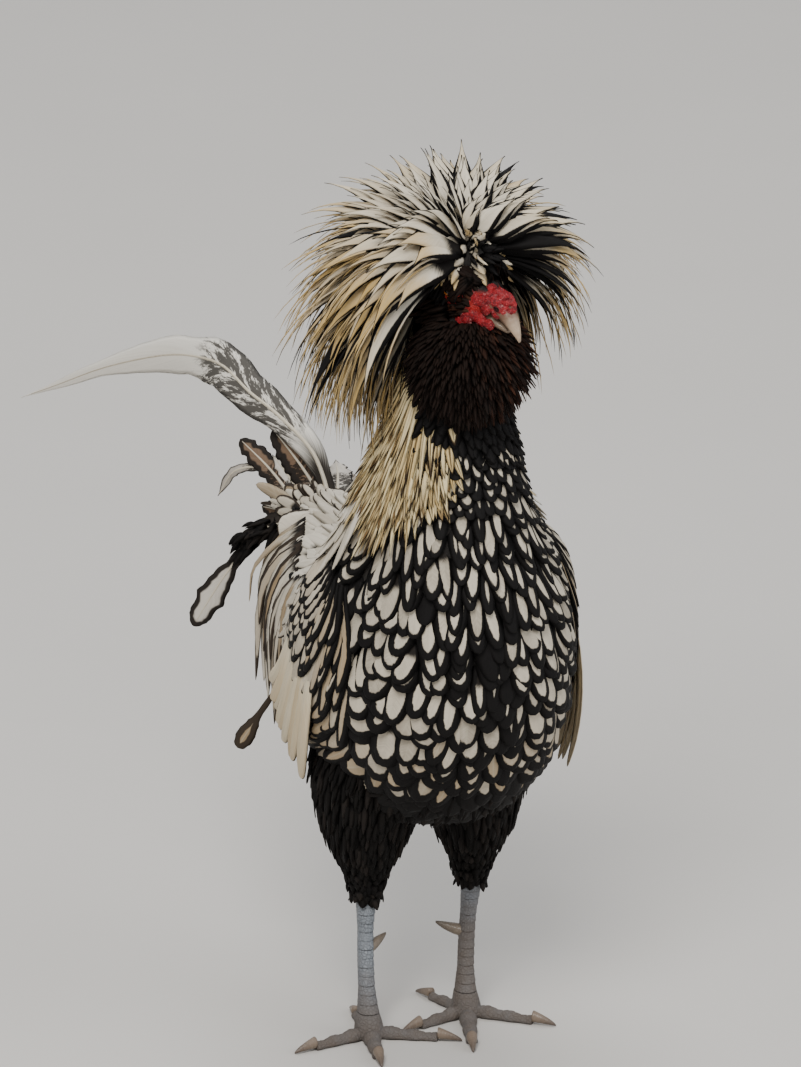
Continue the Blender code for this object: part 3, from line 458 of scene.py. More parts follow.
class Outline:
    """A closed form that plumage lies on. Its points go by s along it and the angle phi round it."""

    last: float = 10.0

    def outline(self, s: Array, phi: Array) -> Array:
        """A point of the form itself."""
        raise NotImplementedError

    def point(self, s: Any, phi: Any, lift: Any = 0.0) -> tuple[Array, Array]:
        """Points at a height over the outline, and the directions outwards there.

        Args:
            s, phi: places on the outline.
            lift: heights over it.

        Returns:
            The points, and the directions outwards.
        """
        s, phi, lift = np.broadcast_arrays(s, phi, lift)
        down_body = self.outline(s + STEP, phi) - self.outline(s - STEP, phi)
        round_body = self.outline(s, phi + STEP) - self.outline(s, phi - STEP)
        outward = unit(np.cross(down_body, round_body))
        return self.outline(s, phi) + outward * lift[..., None], outward

    def rate(self, s: Array, phi: Array) -> Array:
        """How many millimetres of the outline one ring spans."""
        step = 0.05
        return np.linalg.norm(self.outline(s + step, phi) - self.outline(s - step, phi), axis=-1) / (2 * step)

    def scatter(
        self, columns: int, spacing: Callable[[Array, Array], Array], span: Pair, rng: Any
    ) -> tuple[Array, Array]:
        """Root places in columns that run down the body, every other one half a step ahead.

        Along a column the roots stand where the outline's length, divided by the spacing there,
        passes whole numbers.

        Args:
            columns: how many columns go round.
            spacing: millimetres between roots at (s, phi).
            span: the first and last s.
            rng: the random source.

        Returns:
            s and phi of every root.
        """
        s = np.linspace(*span, 160)
        middle = (s[1:] + s[:-1]) / 2
        found = []
        for column in range(columns):
            phi = 2 * math.pi * (column + rng.uniform(-0.15, 0.15)) / columns
            length = np.linalg.norm(np.diff(self.outline(s, np.full_like(s, phi)), axis=0), axis=1)
            steps = np.cumsum(length / spacing(middle, np.full_like(middle, phi)))
            marks = np.arange(0.2 + 0.5 * (column % 2), steps[-1], 1.0)
            marks = marks + rng.uniform(-0.16, 0.16, marks.shape)
            place = np.interp(marks, steps, middle)
            found.append(np.stack([place, np.full_like(place, phi)]))
        s, phi = np.concatenate(found, axis=1)
        return s, (phi + math.pi) % (2 * math.pi) - math.pi

    def lay(
        self, s: Array, phi: Array, length: Array, form: FeatherForm, lifts: tuple[Any, Any], drift: Any = 0.0
    ) -> tuple[Array, Array]:
        """Paths of feathers that lie down the body from their roots.

        Args:
            s, phi: the roots.
            length: each feather's length.
            form: the feather's make, for its rows.
            lifts: heights over the outline at root and tip.
            drift: how far phi turns from root to tip.

        Returns:
            The paths and the directions outwards along them.
        """
        v = form.stations()[None, :]
        rate = self.rate(np.minimum(s + 0.5 * length / self.rate(s, phi), self.last - 0.2), phi)
        low, high = (np.broadcast_to(np.asarray(lift, float), s.shape)[:, None] for lift in lifts)
        return self.point(
            s[:, None] + (length / rate)[:, None] * v,
            phi[:, None] + np.broadcast_to(np.asarray(drift, float), s.shape)[:, None] * v,
            low + (high - low) * v**1.2,
        )

    def unwrap(self, s: Array, phi: Array) -> Array:
        """A root's place on the map: phi across and s up, on the outline's own unrolled shape."""
        return np.stack([0.03 + 0.94 * (phi / (2 * math.pi) % 1), 0.03 + 0.94 * s / self.last], axis=-1)


@dataclass(frozen=True)
class BodyForm(Outline):
    """The plumage outline of neck and trunk.

    Each ring is x, y, z, tilt, half width, belly depth and back depth. A ring's tilt turns its belly
    side from forwards (0) to downwards (90) and on to backwards.
    """

    rings: Rows = (
        (-6, -50, 420, 4, 19, 19, 21),
        (-6, -47, 386, 2, 26, 26, 30),
        (-6, -43, 346, 4, 35, 35, 41),
        (-6, -38, 308, 16, 45, 54, 52),
        (-1, -27, 268, 40, 62, 88, 52),
        (0, -8, 238, 64, 71, 111, 52),
        (0, 22, 220, 84, 70, 107, 52),
        (-2, 60, 219, 98, 58, 82, 46),
        (-6, 98, 228, 108, 41, 52, 34),
        (-11, 127, 240, 114, 24, 27, 20),
        (-13, 139, 246, 116, 13, 13, 12),
    )
    squareness: float = 2.4

    def outline(self, s: Array, phi: Array) -> Array:
        """A point of the outline: a ring's middle, plus its half width times sin(phi) sideways and its
        depth times cos(phi) along the tilt, both on a superellipse.

        Args:
            s, phi: places on the outline.

        Returns:
            The points.
        """
        ring = along(self.rings, s)
        tilt = np.radians(ring[..., 3])
        down, across = np.cos(phi), np.sin(phi)
        swell = (abs(down) ** self.squareness + abs(across) ** self.squareness) ** (-1 / self.squareness)
        depth = np.where(down > 0, ring[..., 5], ring[..., 6]) * down * swell
        return np.stack(
            [
                ring[..., 0] + ring[..., 4] * across * swell,
                ring[..., 1] - np.cos(tilt) * depth,
                ring[..., 2] - np.sin(tilt) * depth,
            ],
            axis=-1,
        )


@dataclass(frozen=True)
class HeadForm(Outline):
    """The head in its own directions: ahead along the bill, to the bird's left, and up.

    Each section is ahead, half width, top and bottom.
    """

    at: Triple = (-6.0, -55.0, 437.0)
    yaw: float = 20.0
    pitch: float = 13.0
    skull: Rows = (
        (-27, 5, 4, -5),
        (-24, 11, 12, -12),
        (-16, 15.5, 17.5, -17),
        (-6, 17, 20, -18),
        (4, 16.5, 18.5, -18),
        (12, 14, 14.5, -16),
        (19, 11, 11, -12.5),
        (24, 8.8, 8.8, -9.5),
    )
    eye_at: Triple = (6.0, 12.8, 4.0)
    eye_radius: float = 5.4
    ear_at: Triple = (-8.0, 15.6, -6.0)
    last: float = 7.0
    power: float = 2.2

    def outline(self, s: Array, phi: Array) -> Array:
        """A point of the skull: s runs from the bill (0) to the nape (7), phi from the chin (0) over
        the left cheek (90 degrees) to the crown, each section a superellipse.

        Args:
            s, phi: places on the outline.

        Returns:
            The points.
        """
        ahead, half_width, top, bottom = np.moveaxis(along(self.skull[::-1], s), -1, 0)
        across, up = np.sin(phi), -np.cos(phi)
        full = (abs(across) ** self.power + abs(up) ** self.power) ** (-1 / self.power)
        height = (top + bottom) / 2 + (top - bottom) / 2 * up * full
        return self.point_at(np.stack([ahead + 0 * across, half_width * across * full, height], axis=-1))

    def axes(self) -> Array:
        """The directions ahead, left and up, as rows.

        Returns:
            Three rows of unit length.
        """
        yaw, pitch = math.radians(self.yaw), math.radians(self.pitch)
        level = np.array([math.sin(yaw), -math.cos(yaw), 0.0])
        ahead = level * math.cos(pitch) - np.array([0, 0, math.sin(pitch)])
        left = np.array([math.cos(yaw), math.sin(yaw), 0.0])
        return np.array([ahead, left, np.cross(ahead, left)])

    def point_at(self, places: Any) -> Array:
        """Places given as ahead, left and up, in the bird's frame."""
        return np.asarray(places, float) @ self.axes() + np.array(self.at)

    def own(self, points: Array) -> Array:
        """Points of the bird's frame as ahead, left and up."""
        return (points - np.array(self.at)) @ self.axes().T

    def on_side(self, place: Triple, side: Side) -> Array:
        """A place given for the left side, on either side, in the bird's frame."""
        ahead, out, up = place
        return self.point_at((ahead, out * side.value, up))

    def loft(self, sections: Any, sides: int = 32, rows: int = 30, ridge: float = 0.0) -> Surface:
        """A closed form over sections, each a superellipse between its top, bottom and half width.

        Args:
            sections: ahead, half width, top and bottom of each.
            sides: points round a section.
            rows: how many sections are worked out along it.
            ridge: how far the top line stands up as a share of the height.

        Returns:
            The surface in the bird's frame.
        """
        power = self.power
        ahead, half_width, top, bottom = curve(sections, rows).T[..., None]
        across, up = np.cos(turns(sides))[None, :], np.sin(turns(sides))[None, :]
        full = (abs(across) ** power + abs(up) ** power) ** (-1 / power)
        half_height = (top - bottom) / 2
        peak = 1 + ridge * np.clip(up, 0, 1) ** 8
        height = (top + bottom) / 2 + half_height * up * full * peak
        rings = np.stack([ahead + 0 * across, half_width * across * full, height], axis=-1)
        return Surface.tube(self.point_at(rings))


class Value:
    """A shader socket that Python's operators work on. Each expression adds its Math nodes."""

    def __init__(self, nodes: "Nodes", socket: bpy.types.NodeSocket) -> None:
        """Holds the socket and the tree it is in."""
        self.nodes = nodes
        self.socket = socket

    def math(self, operation: str, *others: Any) -> "Value":
        """This value and others through one Math node."""
        inputs = dict(enumerate((self, *others)))
        return self.nodes.add("ShaderNodeMath", {"operation": operation}, inputs)

    def __add__(self, other: Any) -> "Value":
        """self + other."""
        return self.math("ADD", other)

    __radd__ = __add__

    def __mul__(self, other: Any) -> "Value":
        """self * other."""
        return self.math("MULTIPLY", other)

    __rmul__ = __mul__

    def __sub__(self, other: Any) -> "Value":
        """self - other."""
        return self.math("SUBTRACT", other)

    def __rsub__(self, other: Any) -> "Value":
        """other - self."""
        return self.nodes.add("ShaderNodeMath", {"operation": "SUBTRACT"}, {0: other, 1: self})

    def __abs__(self) -> "Value":
        """The value without its sign."""
        return self.math("ABSOLUTE")

    def sine(self) -> "Value":
        """Sine of the value."""
        return self.math("SINE")

    def step(self, low: Any, high: Any) -> "Value":
        """An S-shaped step from 0 at low to 1 at high."""
        inputs = {"Value": self, "From Min": low, "From Max": high}
        return self.nodes.add("ShaderNodeMapRange", {"interpolation_type": "SMOOTHSTEP"}, inputs)


class Nodes:
    """A material's tree and the few kinds of node that the finishes use."""

    def __init__(self, name: str) -> None:
        """A new material with its Principled shader.

        Args:
            name: the material's name.
        """
        self.material = bpy.data.materials.new(name)
        self.material.use_nodes = True
        self.tree = self.material.node_tree
        self.shader = self.tree.nodes["Principled BSDF"]

    def add(
        self,
        kind: str,
        settings: dict[str, Any] | None = None,
        inputs: dict[Any, Any] | None = None,
        output: Any = 0,
    ) -> Value:
        """A node with its settings made first and its sockets then filled or linked.

        Args:
            kind: the node's type.
            settings: its properties.
            inputs: what each socket is given, by name or number: a Value, a number or a colour.
            output: the socket it gives, by name or number.

        Returns:
            That output as a Value.
        """
        node = self.tree.nodes.new(kind)
        for key, value in (settings or {}).items():
            setattr(node, key, value)
        for key, value in (inputs or {}).items():
            self.fill(node.inputs[key], value)
        return Value(self, node.outputs[output])

    def fill(self, socket: bpy.types.NodeSocket, value: Any) -> None:
        """Links a socket to a Value, or sets it.

        Args:
            socket: the socket.
            value: a Value, a number or a colour.
        """
        if isinstance(value, Value):
            self.tree.links.new(value.socket, socket)
        elif socket.type == "RGBA":
            socket.default_value = (*value[:3], 1.0)
        else:
            socket.default_value = value

    def attribute(self, name: str) -> Value:
        """A value held at the piece's points."""
        return self.add("ShaderNodeAttribute", {"attribute_name": name}, output="Fac")

    def feather_place(self) -> tuple[Value, Value]:
        """Across the feather from -1 to 1, and along it from root (0) to tip (1).

        Returns:
            Both as Values.
        """
        place = self.add("ShaderNodeUVMap", {"uv_map": "FeatherUV"})
        split = self.add("ShaderNodeSeparateXYZ", inputs={0: place})
        node = split.socket.node
        return Value(self, node.outputs[0]) * 2 - 1, Value(self, node.outputs[1])

    def object_place(self) -> Value:
        """The point on the piece, in metres."""
        return self.add("ShaderNodeTexCoord", output="Object")

    def join(self, x: Any, y: Any, z: Any = 0.0) -> Value:
        """A vector from three numbers."""
        return self.add("ShaderNodeCombineXYZ", inputs={0: x, 1: y, 2: z})

    def noise(self, place: Value, scale: float, detail: float = 3.0, rough: float = 0.5) -> Value:
        """Soft noise from 0 to 1."""
        inputs = {"Vector": place, "Scale": scale, "Detail": detail, "Roughness": rough}
        return self.add("ShaderNodeTexNoise", inputs=inputs)

    def cells(self, place: Value, scale: float) -> Value:
        """Distance to the edges of round cells."""
        settings = {"feature": "DISTANCE_TO_EDGE"}
        return self.add("ShaderNodeTexVoronoi", settings, {"Vector": place, "Scale": scale})

    def mix(self, first: Any, second: Any, share: Any) -> Value:
        """A colour between two: the first at 0, the second at 1.

        Args:
            first: the colour at 0.
            second: the colour at 1.
            share: how much of the second.

        Returns:
            The mixed colour.
        """
        node = self.tree.nodes.new("ShaderNodeMix")
        node.data_type = "RGBA"
        self.fill(node.inputs["Factor"], share)
        self.fill(node.inputs[6], first)
        self.fill(node.inputs[7], second)
        return Value(self, node.outputs[2])

    def bump(self, height: Value, distance: float, strength: float = 1.0) -> Value:
        """A normal from a height of 0 to 1 that stands for this distance in metres."""
        inputs = {"Height": height, "Distance": distance, "Strength": strength}
        return self.add("ShaderNodeBump", inputs=inputs, output="Normal")

    def finish(self, **sockets: Any) -> bpy.types.Material:
        """Fills the shader's sockets, named with _ for a space, and gives the material.

        Args:
            sockets: what each socket is given.

        Returns:
            The material.
        """
        for key, value in sockets.items():
            self.fill(self.shader.inputs[key.replace("_", " ")], value)
        return self.material


@dataclass(frozen=True)
class PlumeFinish:
    """A feather's colours: pale and deep ground, black or brown rim, dark base, warm tip, shaft.

    The rim covers what lies nearer the edge than the feather's own lace value, in mm. base is the
    share of its length that is dark at the root, warm the share of the warm colour, which is
    strongest from warm_from on, and tone tells one feather from the next.
    """

    name: str
    pale: Colour
    deep: Colour
    warm: Colour
    rim: Colour = (0.0045, 0.004, 0.004)
    root: Colour = (0.02, 0.017, 0.015)
    warm_from: float = 0.0
    shaft: Colour = (0.5, 0.46, 0.36)
    shaft_share: float = 0.3
    streak: float = 0.0
    rim_fade: float = 0.0
    wobble: float = 1.5
    softness: float = 0.3
    barbs: float = 46.0
    mottle: float = 0.0
    roughness: float = 0.66
    specular: float = 0.12

    def material(self) -> bpy.types.Material:
        """The material: barbs slant out from the shaft as streaks of colour and fine relief.

        Returns:
            The material.
        """
        nodes = Nodes(self.name)
        x, v = nodes.feather_place()
        tone = nodes.attribute("tone")
        warmth = nodes.attribute("warm")
        slant = v * self.barbs - abs(x) * (self.barbs * 0.2)
        barb = nodes.noise(nodes.join(slant, x * 0.5, tone * 37), 1.0, 3.0, 0.6)
        patch = nodes.noise(nodes.join(v * 3, x * 1.3, tone * 53), 1.0, 2.0)
        shade = barb * 0.9 + patch * 0.8 + tone * 0.65 - 0.8
        ground = nodes.mix(self.pale, self.deep, shade.step(0, 1))
        spread = (v + (patch - 0.5) * 0.3).step(self.warm_from, self.warm_from + 0.5)
        ground = nodes.mix(ground, self.warm, (warmth * spread * (barb * 0.5 + 0.75)).step(0, 1))
        if self.streak:
            inner = 1 - (abs(x) + (barb - 0.5) * 0.35).step(self.streak * 0.3, self.streak)
            ends = (v - 0.15).step(0, 0.3) * (1 - (v - 0.8).step(0, 0.2))
            ground = nodes.mix(ground, self.rim, inner * ends * (tone - 0.25).step(0, 0.3) * 0.9)
        if self.mottle:
            cloud = nodes.noise(nodes.join(v * 34 - abs(x) * 3, x * 2.4, tone * 11), 1.0, 4.0, 0.75)
            where = (v - 0.18).step(0, 0.12) * (1 - (v - 0.5).step(0, 0.16))
            spots = (cloud + where * 0.17).step(0.56, 0.66) * where.step(0.1, 0.7)
            ground = nodes.mix(ground, self.rim, spots * self.mottle)
        line = 1 - abs(x).step(0.02, 0.1)
        ground = nodes.mix(ground, self.shaft, line * self.shaft_share)
        base = nodes.attribute("base")
        dark_end = (v + (barb - 0.5) * 0.14 + abs(x) * 0.05 - base).step(-0.06, 0.08)
        ground = nodes.mix(self.root, ground, dark_end)
        inside = nodes.attribute("rim") + (barb - 0.5) * 0.9 + (patch - 0.5) * self.wobble
        lace = nodes.attribute("lace") * (1 - (v - 0.5).step(0, 0.35) * self.rim_fade)
        edge = (inside - lace).step(-self.softness, self.softness)
        dark = nodes.mix(self.rim, tuple(min(1.0, 1.8 * c + 0.002) for c in self.rim), barb)
        height = barb * 0.7 + line * 0.3
        return nodes.finish(
            Base_Color=nodes.mix(dark, ground, edge),
            Roughness=barb * 0.2 + (self.roughness - 0.1),
            Normal=nodes.bump(height, 0.0003, 0.7),
            Specular_IOR_Level=self.specular,
        )


LACED_PLUME = PlumeFinish(
    "plume_laced", pale=(0.62, 0.56, 0.45), deep=(0.32, 0.28, 0.22), warm=(0.42, 0.32, 0.2)
)
HACKLE_PLUME = PlumeFinish(
    "plume_hackle",
    pale=(0.88, 0.75, 0.45),
    deep=(0.62, 0.43, 0.17),
    warm=(0.17, 0.09, 0.03),
    warm_from=0.5,
    rim=(0.03, 0.019, 0.011),
    shaft=(0.26, 0.16, 0.06),
    streak=0.3,
    wobble=0.8,
    barbs=90.0,
)
CREST_PLUME = PlumeFinish(
    "plume_crest",
    pale=(0.72, 0.66, 0.54),
    deep=(0.5, 0.44, 0.33),
    warm=(0.54, 0.37, 0.14),
    warm_from=0.3,
    root=(0.012, 0.01, 0.009),
    rim_fade=0.88,
    wobble=0.9,
    barbs=90.0,
)
SADDLE_PLUME = PlumeFinish(
    "plume_saddle",
    pale=(0.7, 0.65, 0.55),
    deep=(0.48, 0.43, 0.34),
    warm=(0.3, 0.22, 0.13),
    rim=(0.03, 0.022, 0.016),
    wobble=0.8,
    barbs=80.0,
)
WING_PLUME = PlumeFinish(
    "plume_wing",
    pale=(0.78, 0.71, 0.55),
    deep=(0.58, 0.5, 0.35),
    warm=(0.56, 0.4, 0.2),
    rim=(0.03, 0.022, 0.015),
    barbs=80.0,
)
BEARD_PLUME = PlumeFinish(
    "plume_beard",
    pale=(0.016, 0.01, 0.008),
    deep=(0.008, 0.006, 0.005),
    warm=(0.055, 0.022, 0.013),
    rim=(0.008, 0.006, 0.005),
    root=(0.008, 0.006, 0.005),
    shaft=(0.03, 0.016, 0.01),
    specular=0.07,
)
BLACK_PLUME = PlumeFinish(
    "plume_dark",
    pale=(0.0095, 0.0085, 0.008),
    deep=(0.005, 0.0045, 0.0045),
    warm=(0.022, 0.018, 0.016),
    root=(0.006, 0.005, 0.005),
    shaft=(0.016, 0.014, 0.013),
    specular=0.07,
)
TAIL_PLUME = PlumeFinish(
    "plume_tail",
    pale=(0.74, 0.71, 0.64),
    deep=(0.5, 0.47, 0.42),
    warm=(0.17, 0.11, 0.07),
    rim=(0.016, 0.013, 0.011),
    root=(0.03, 0.025, 0.021),
    barbs=110.0,
    mottle=0.9,
    softness=0.6,
)


@dataclass(frozen=True)
class SkinFinish:
    """Bare red face, and dim down under the plumage in the plumage's own dark or pale."""

    red: Colour = (0.5, 0.025, 0.02)
    deep_red: Colour = (0.22, 0.008, 0.01)
    dark: Colour = (0.012, 0.01, 0.009)
    pale: Colour = (0.16, 0.14, 0.11)

    def material(self) -> bpy.types.Material:
        """The material, with small folds and pimples where the skin is bare.

        Returns:
            The material.
        """
        nodes = Nodes("face_skin")
        place = nodes.object_place()
        pimples = nodes.cells(place, 900.0)
        folds = nodes.noise(place, 260.0, 4.0)
        bare = nodes.mix(self.deep_red, self.red, (pimples * 1.6 + folds - 0.35).step(0, 0.7))
        down = nodes.mix(self.dark, self.pale, nodes.attribute("white") * folds * 0.5)
        shown = nodes.attribute("bare")
        height = pimples.step(0, 0.4) * 0.6 + folds
        return nodes.finish(
            Base_Color=nodes.mix(down, bare, shown),
            Roughness=0.75 - shown * 0.3,
            Normal=nodes.bump(height, 0.0006),
            Specular_IOR_Level=0.4,
        )


@dataclass(frozen=True)
class CombFinish:
    """Wet-looking red flesh of the comb and the folds at the mouth."""

    red: Colour = (0.43, 0.013, 0.02)
    deep: Colour = (0.1, 0.003, 0.007)
    bloom: Colour = (0.66, 0.32, 0.3)

    def material(self) -> bpy.types.Material:
        """The material: grains of flesh between darker creases, and pale flecks painted on some grains as wet
        highlights.

        Returns:
            The material.
        """
        nodes = Nodes("comb_flesh")
        place = nodes.object_place()
        grain = nodes.cells(place, 1100.0)
        mottle = nodes.noise(place, 300.0, 3.0)
        colour = nodes.mix(self.deep, self.red, (grain * 1.4 + mottle * 1.2 - 0.45).step(0, 0.6))
        # Pale pink flecks painted as wet highlights.
        pale = (nodes.noise(place, 420.0, 2.0) + grain * 0.3).step(0.62, 0.8) * 0.5
        colour = nodes.mix(colour, self.bloom, pale)
        # The nostril hollows are painted near-black as shade.
        colour = nodes.mix(colour, (0.012, 0.003, 0.003), nodes.attribute("hollow"))
        return nodes.finish(
            Base_Color=colour,
            Roughness=0.32 + mottle * 0.25,
            Normal=nodes.bump(grain.step(0, 0.35) * 0.7 + mottle * 0.6, 0.0005),
            Subsurface_Weight=0.15,
            Subsurface_Scale=0.003,
            Subsurface_Radius=(1.0, 0.25, 0.15),
        )


@dataclass(frozen=True)
class HornFinish:
    """Beak, claw and spur horn, with growth lines, a worn, tinted tip and, where a root colour is given,
    painted shade over the base.
    """

    name: str
    pale: Colour
    deep: Colour
    ends: tuple[Triple, Triple]
    root: Colour | None = None
    root_reach: Pair = (0.47, 0.86)
    roughness: float = 0.35

    def material(self) -> bpy.types.Material:
        """The material: streaks along the growth, a shift of colour from the first end to the second and,
        where a root colour is given, that colour painted over the base as shade, up to where the horn is
        clear.

        Returns:
            The material.
        """
        nodes = Nodes(self.name)
        place = nodes.object_place()
        start, end = (np.array(point) for point in self.ends)
        way = (end - start) / max(float(np.dot(end - start, end - start)), 1e-12)
        settings = {"operation": "DOT_PRODUCT"}
        reach = nodes.add("ShaderNodeVectorMath", settings, {0: place, 1: tuple(way)}, output="Value")
        share = reach - float(np.dot(start, way))
        streaks = nodes.noise(nodes.join(share * 3, nodes.noise(place, 500.0, 2.0) * 3), 3.0, 3.0)
        rings = (share * (2 * math.pi * 9) + nodes.noise(place, 180.0, 2.0) * 5).sine() * 0.5 + 0.5
        colour = nodes.mix(self.pale, self.deep, (share * 0.9 + streaks * 0.9 - 0.6).step(0, 0.8))
        # The root colour is painted shade over the base of the horn, fading out across root_reach.
        if self.root:
            colour = nodes.mix(self.root, colour, (share + (streaks - 0.5) * 0.2).step(*self.root_reach))
        return nodes.finish(
            Base_Color=colour,
            Roughness=self.roughness + streaks * 0.2,
            Normal=nodes.bump(rings * 0.4 + streaks, 0.00025),
            Coat_Weight=0.15,
        )


@dataclass(frozen=True)
class ScaleFinish:
    """Leg and foot scales: slate blue above, dusty brown near the ground."""

    name: str = "leg_scales"
    slate: Colour = (0.2, 0.22, 0.245)
    deep: Colour = (0.06, 0.066, 0.075)
    mud: Colour = (0.115, 0.088, 0.068)
    mud_top: float = 0.03
    mud_fade: float = 0.02

    def material(self) -> bpy.types.Material:
        """The material: small cells of scale with darker seams, painted shade under each plate's edge and
        along the ground, and dust that thickens downwards.

        Returns:
            The material.
        """
        nodes = Nodes(self.name)
        place = nodes.object_place()
        cells = nodes.cells(place, 520.0)
        seams = 1 - cells.step(0.0, 0.12)
        dust = nodes.noise(place, 120.0, 4.0)
        # Painted shade under each front plate's edge on the shank and along the ground under the foot.
        groove = nodes.attribute("groove")
        split = nodes.add("ShaderNodeSeparateXYZ", inputs={0: place})
        height = Value(nodes, split.socket.node.outputs[2])
        uneven = height + (dust - 0.5) * 0.04
        low = 1 - uneven.step(self.mud_top - self.mud_fade, self.mud_top + self.mud_fade)
        # Seams, painted shade and uneven tone darken the slate.
        colour = nodes.mix(self.slate, self.deep, (seams * 0.45 + groove * 0.8 + (dust - 0.5)).step(0, 1))
        colour = nodes.mix(colour, self.mud, low * (0.55 + dust * 0.5))
        return nodes.finish(
            Base_Color=colour,
            Roughness=0.42 + low * 0.35 + dust * 0.1,
            Normal=nodes.bump(cells.step(0, 0.2), 0.0004, 0.7),
            Specular_IOR_Level=0.45,
        )


@dataclass(frozen=True)
class EyeFinish:
    """A rooster's orange-brown eye: pupil, rayed iris and dark rim, by distance from the eye's axis."""

    pupil: float = 0.3
    iris: float = 0.74
    amber: Colour = (0.62, 0.2, 0.03)
    brown: Colour = (0.2, 0.045, 0.01)

    def material(self) -> bpy.types.Material:
        """The material, wet and clear over all of it.

        Returns:
            The material.
        """
        nodes = Nodes("eye_wet")
        off = nodes.attribute("off_axis")
        rays = nodes.noise(nodes.join(nodes.attribute("turn") * 9, off * 2), 1.0, 3.0)
        iris = nodes.mix(self.amber, self.brown, (rays + off * 0.5 - 0.4).step(0, 0.8))
        inner = off.step(self.pupil - 0.03, self.pupil + 0.03)
        outer = off.step(self.iris - 0.05, self.iris + 0.05)
        colour = nodes.mix((0.004, 0.004, 0.004), iris, inner)
        return nodes.finish(
            Base_Color=nodes.mix(colour, (0.03, 0.02, 0.016), outer),
            Roughness=0.06,
            Coat_Weight=1.0,
            IOR=1.38,
        )


@dataclass(frozen=True)
class FloorFinish:
    """Pale matt studio floor."""

    colour: Colour = (0.62, 0.6, 0.57)

    def material(self) -> bpy.types.Material:
        """The material, very slightly uneven.

        Returns:
            The material.
        """
        nodes = Nodes("studio_floor")
        uneven = nodes.noise(nodes.object_place(), 6.0, 3.0)
        shade = tuple(c * 0.94 for c in self.colour)
        return nodes.finish(Base_Color=nodes.mix(self.colour, shade, uneven), Roughness=0.85)


@dataclass
class Dresser:
    """Places finished pieces on the bird and reports them."""

    place: Place
    finishes: dict[str, bpy.types.Material] = field(default_factory=dict)

    def material(self, finish: Any) -> bpy.types.Material:
        """The finish's material, made once.

        Args:
            finish: what a piece is made to look like.

        Returns:
            The material.
        """
        key = repr(finish)
        if key not in self.finishes:
            self.finishes[key] = finish.material()
        return self.finishes[key]

    def dress(
        self, name: str, surface: Surface, finish: Any, slot: str, replaces: Sequence[str] = ()
    ) -> None:
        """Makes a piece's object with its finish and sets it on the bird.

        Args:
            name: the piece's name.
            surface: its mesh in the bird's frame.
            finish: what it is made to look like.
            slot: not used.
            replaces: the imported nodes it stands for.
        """
        mesh = surface.mesh(name, self.place.shift)
        mesh.materials.append(self.material(finish))
        obj = bpy.data.objects.new(name, mesh)
        bpy.context.scene.collection.objects.link(obj)
        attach(obj, BODY)
        if replaces:
            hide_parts(*replaces)
        low, high = (self.place.metres(end) for end in (surface.points.min(0), surface.points.max(0)))
        count = len(surface.triangles_of_faces())
        LOG.info("%s: %d triangles, %s to %s m", name, count, np.round(low, 4), np.round(high, 4))


@dataclass(frozen=True)
class Markings:
    """Where the plumage is laced, black or cream. Heights are over the ground."""

    black_front: float = 146.0
    black_side: float = 128.0
    stripe_x: float = 2.0
    stripe_half: float = 13.0
    stripe_top: float = 262.0
    widths: Steps = (
        (1.8, 2.4, 2.9, 3.6, 4.4, 5.0),
        (3.3, 2.9, 2.7, 3.1, 3.8, 4.4),
    )
    none_left: float = ALL_DARK

    def line(self, turn: Array) -> Array:
        """The height below which the belly is black, by the angle off its middle in degrees."""
        return self.black_front + (self.black_side - self.black_front) * smooth(20, 85, turn)

    def lace(self, points: Array, s: Array, phi: Array, rng: Any) -> Array:
        """Width of the black rim in mm, from widths by s, and all over below the belly's line.

        Args:
            points: places on the plumage.
            s, phi: the same places on the outline.
            rng: the random source.

        Returns:
            The width at each place; none_left leaves no white.
        """
        z = points[..., 2] + rng.uniform(-6, 6, s.shape)
        turn = abs(np.degrees(phi))
        lace = np.interp(s, *self.widths) * rng.uniform(0.74, 1.34, s.shape)
        off = abs(points[..., 0] - self.stripe_x)
        stripe = smooth(self.stripe_half, self.stripe_half * 0.4, off) * smooth(self.stripe_top, 215, z)
        lace = lace + stripe * (turn < 60) * rng.uniform(0, 6.5, s.shape)
        lace = np.where(rng.uniform(0, 1, s.shape) < 0.05, 7.0, lace)
        vent = smooth(6.6, 7.6, s) * smooth(115, 80, turn)
        throat = smooth(2.15, 1.95, s)
        return np.where((z < self.line(turn)) | (vent > 0.5) | (throat > 0.5), self.none_left, lace)


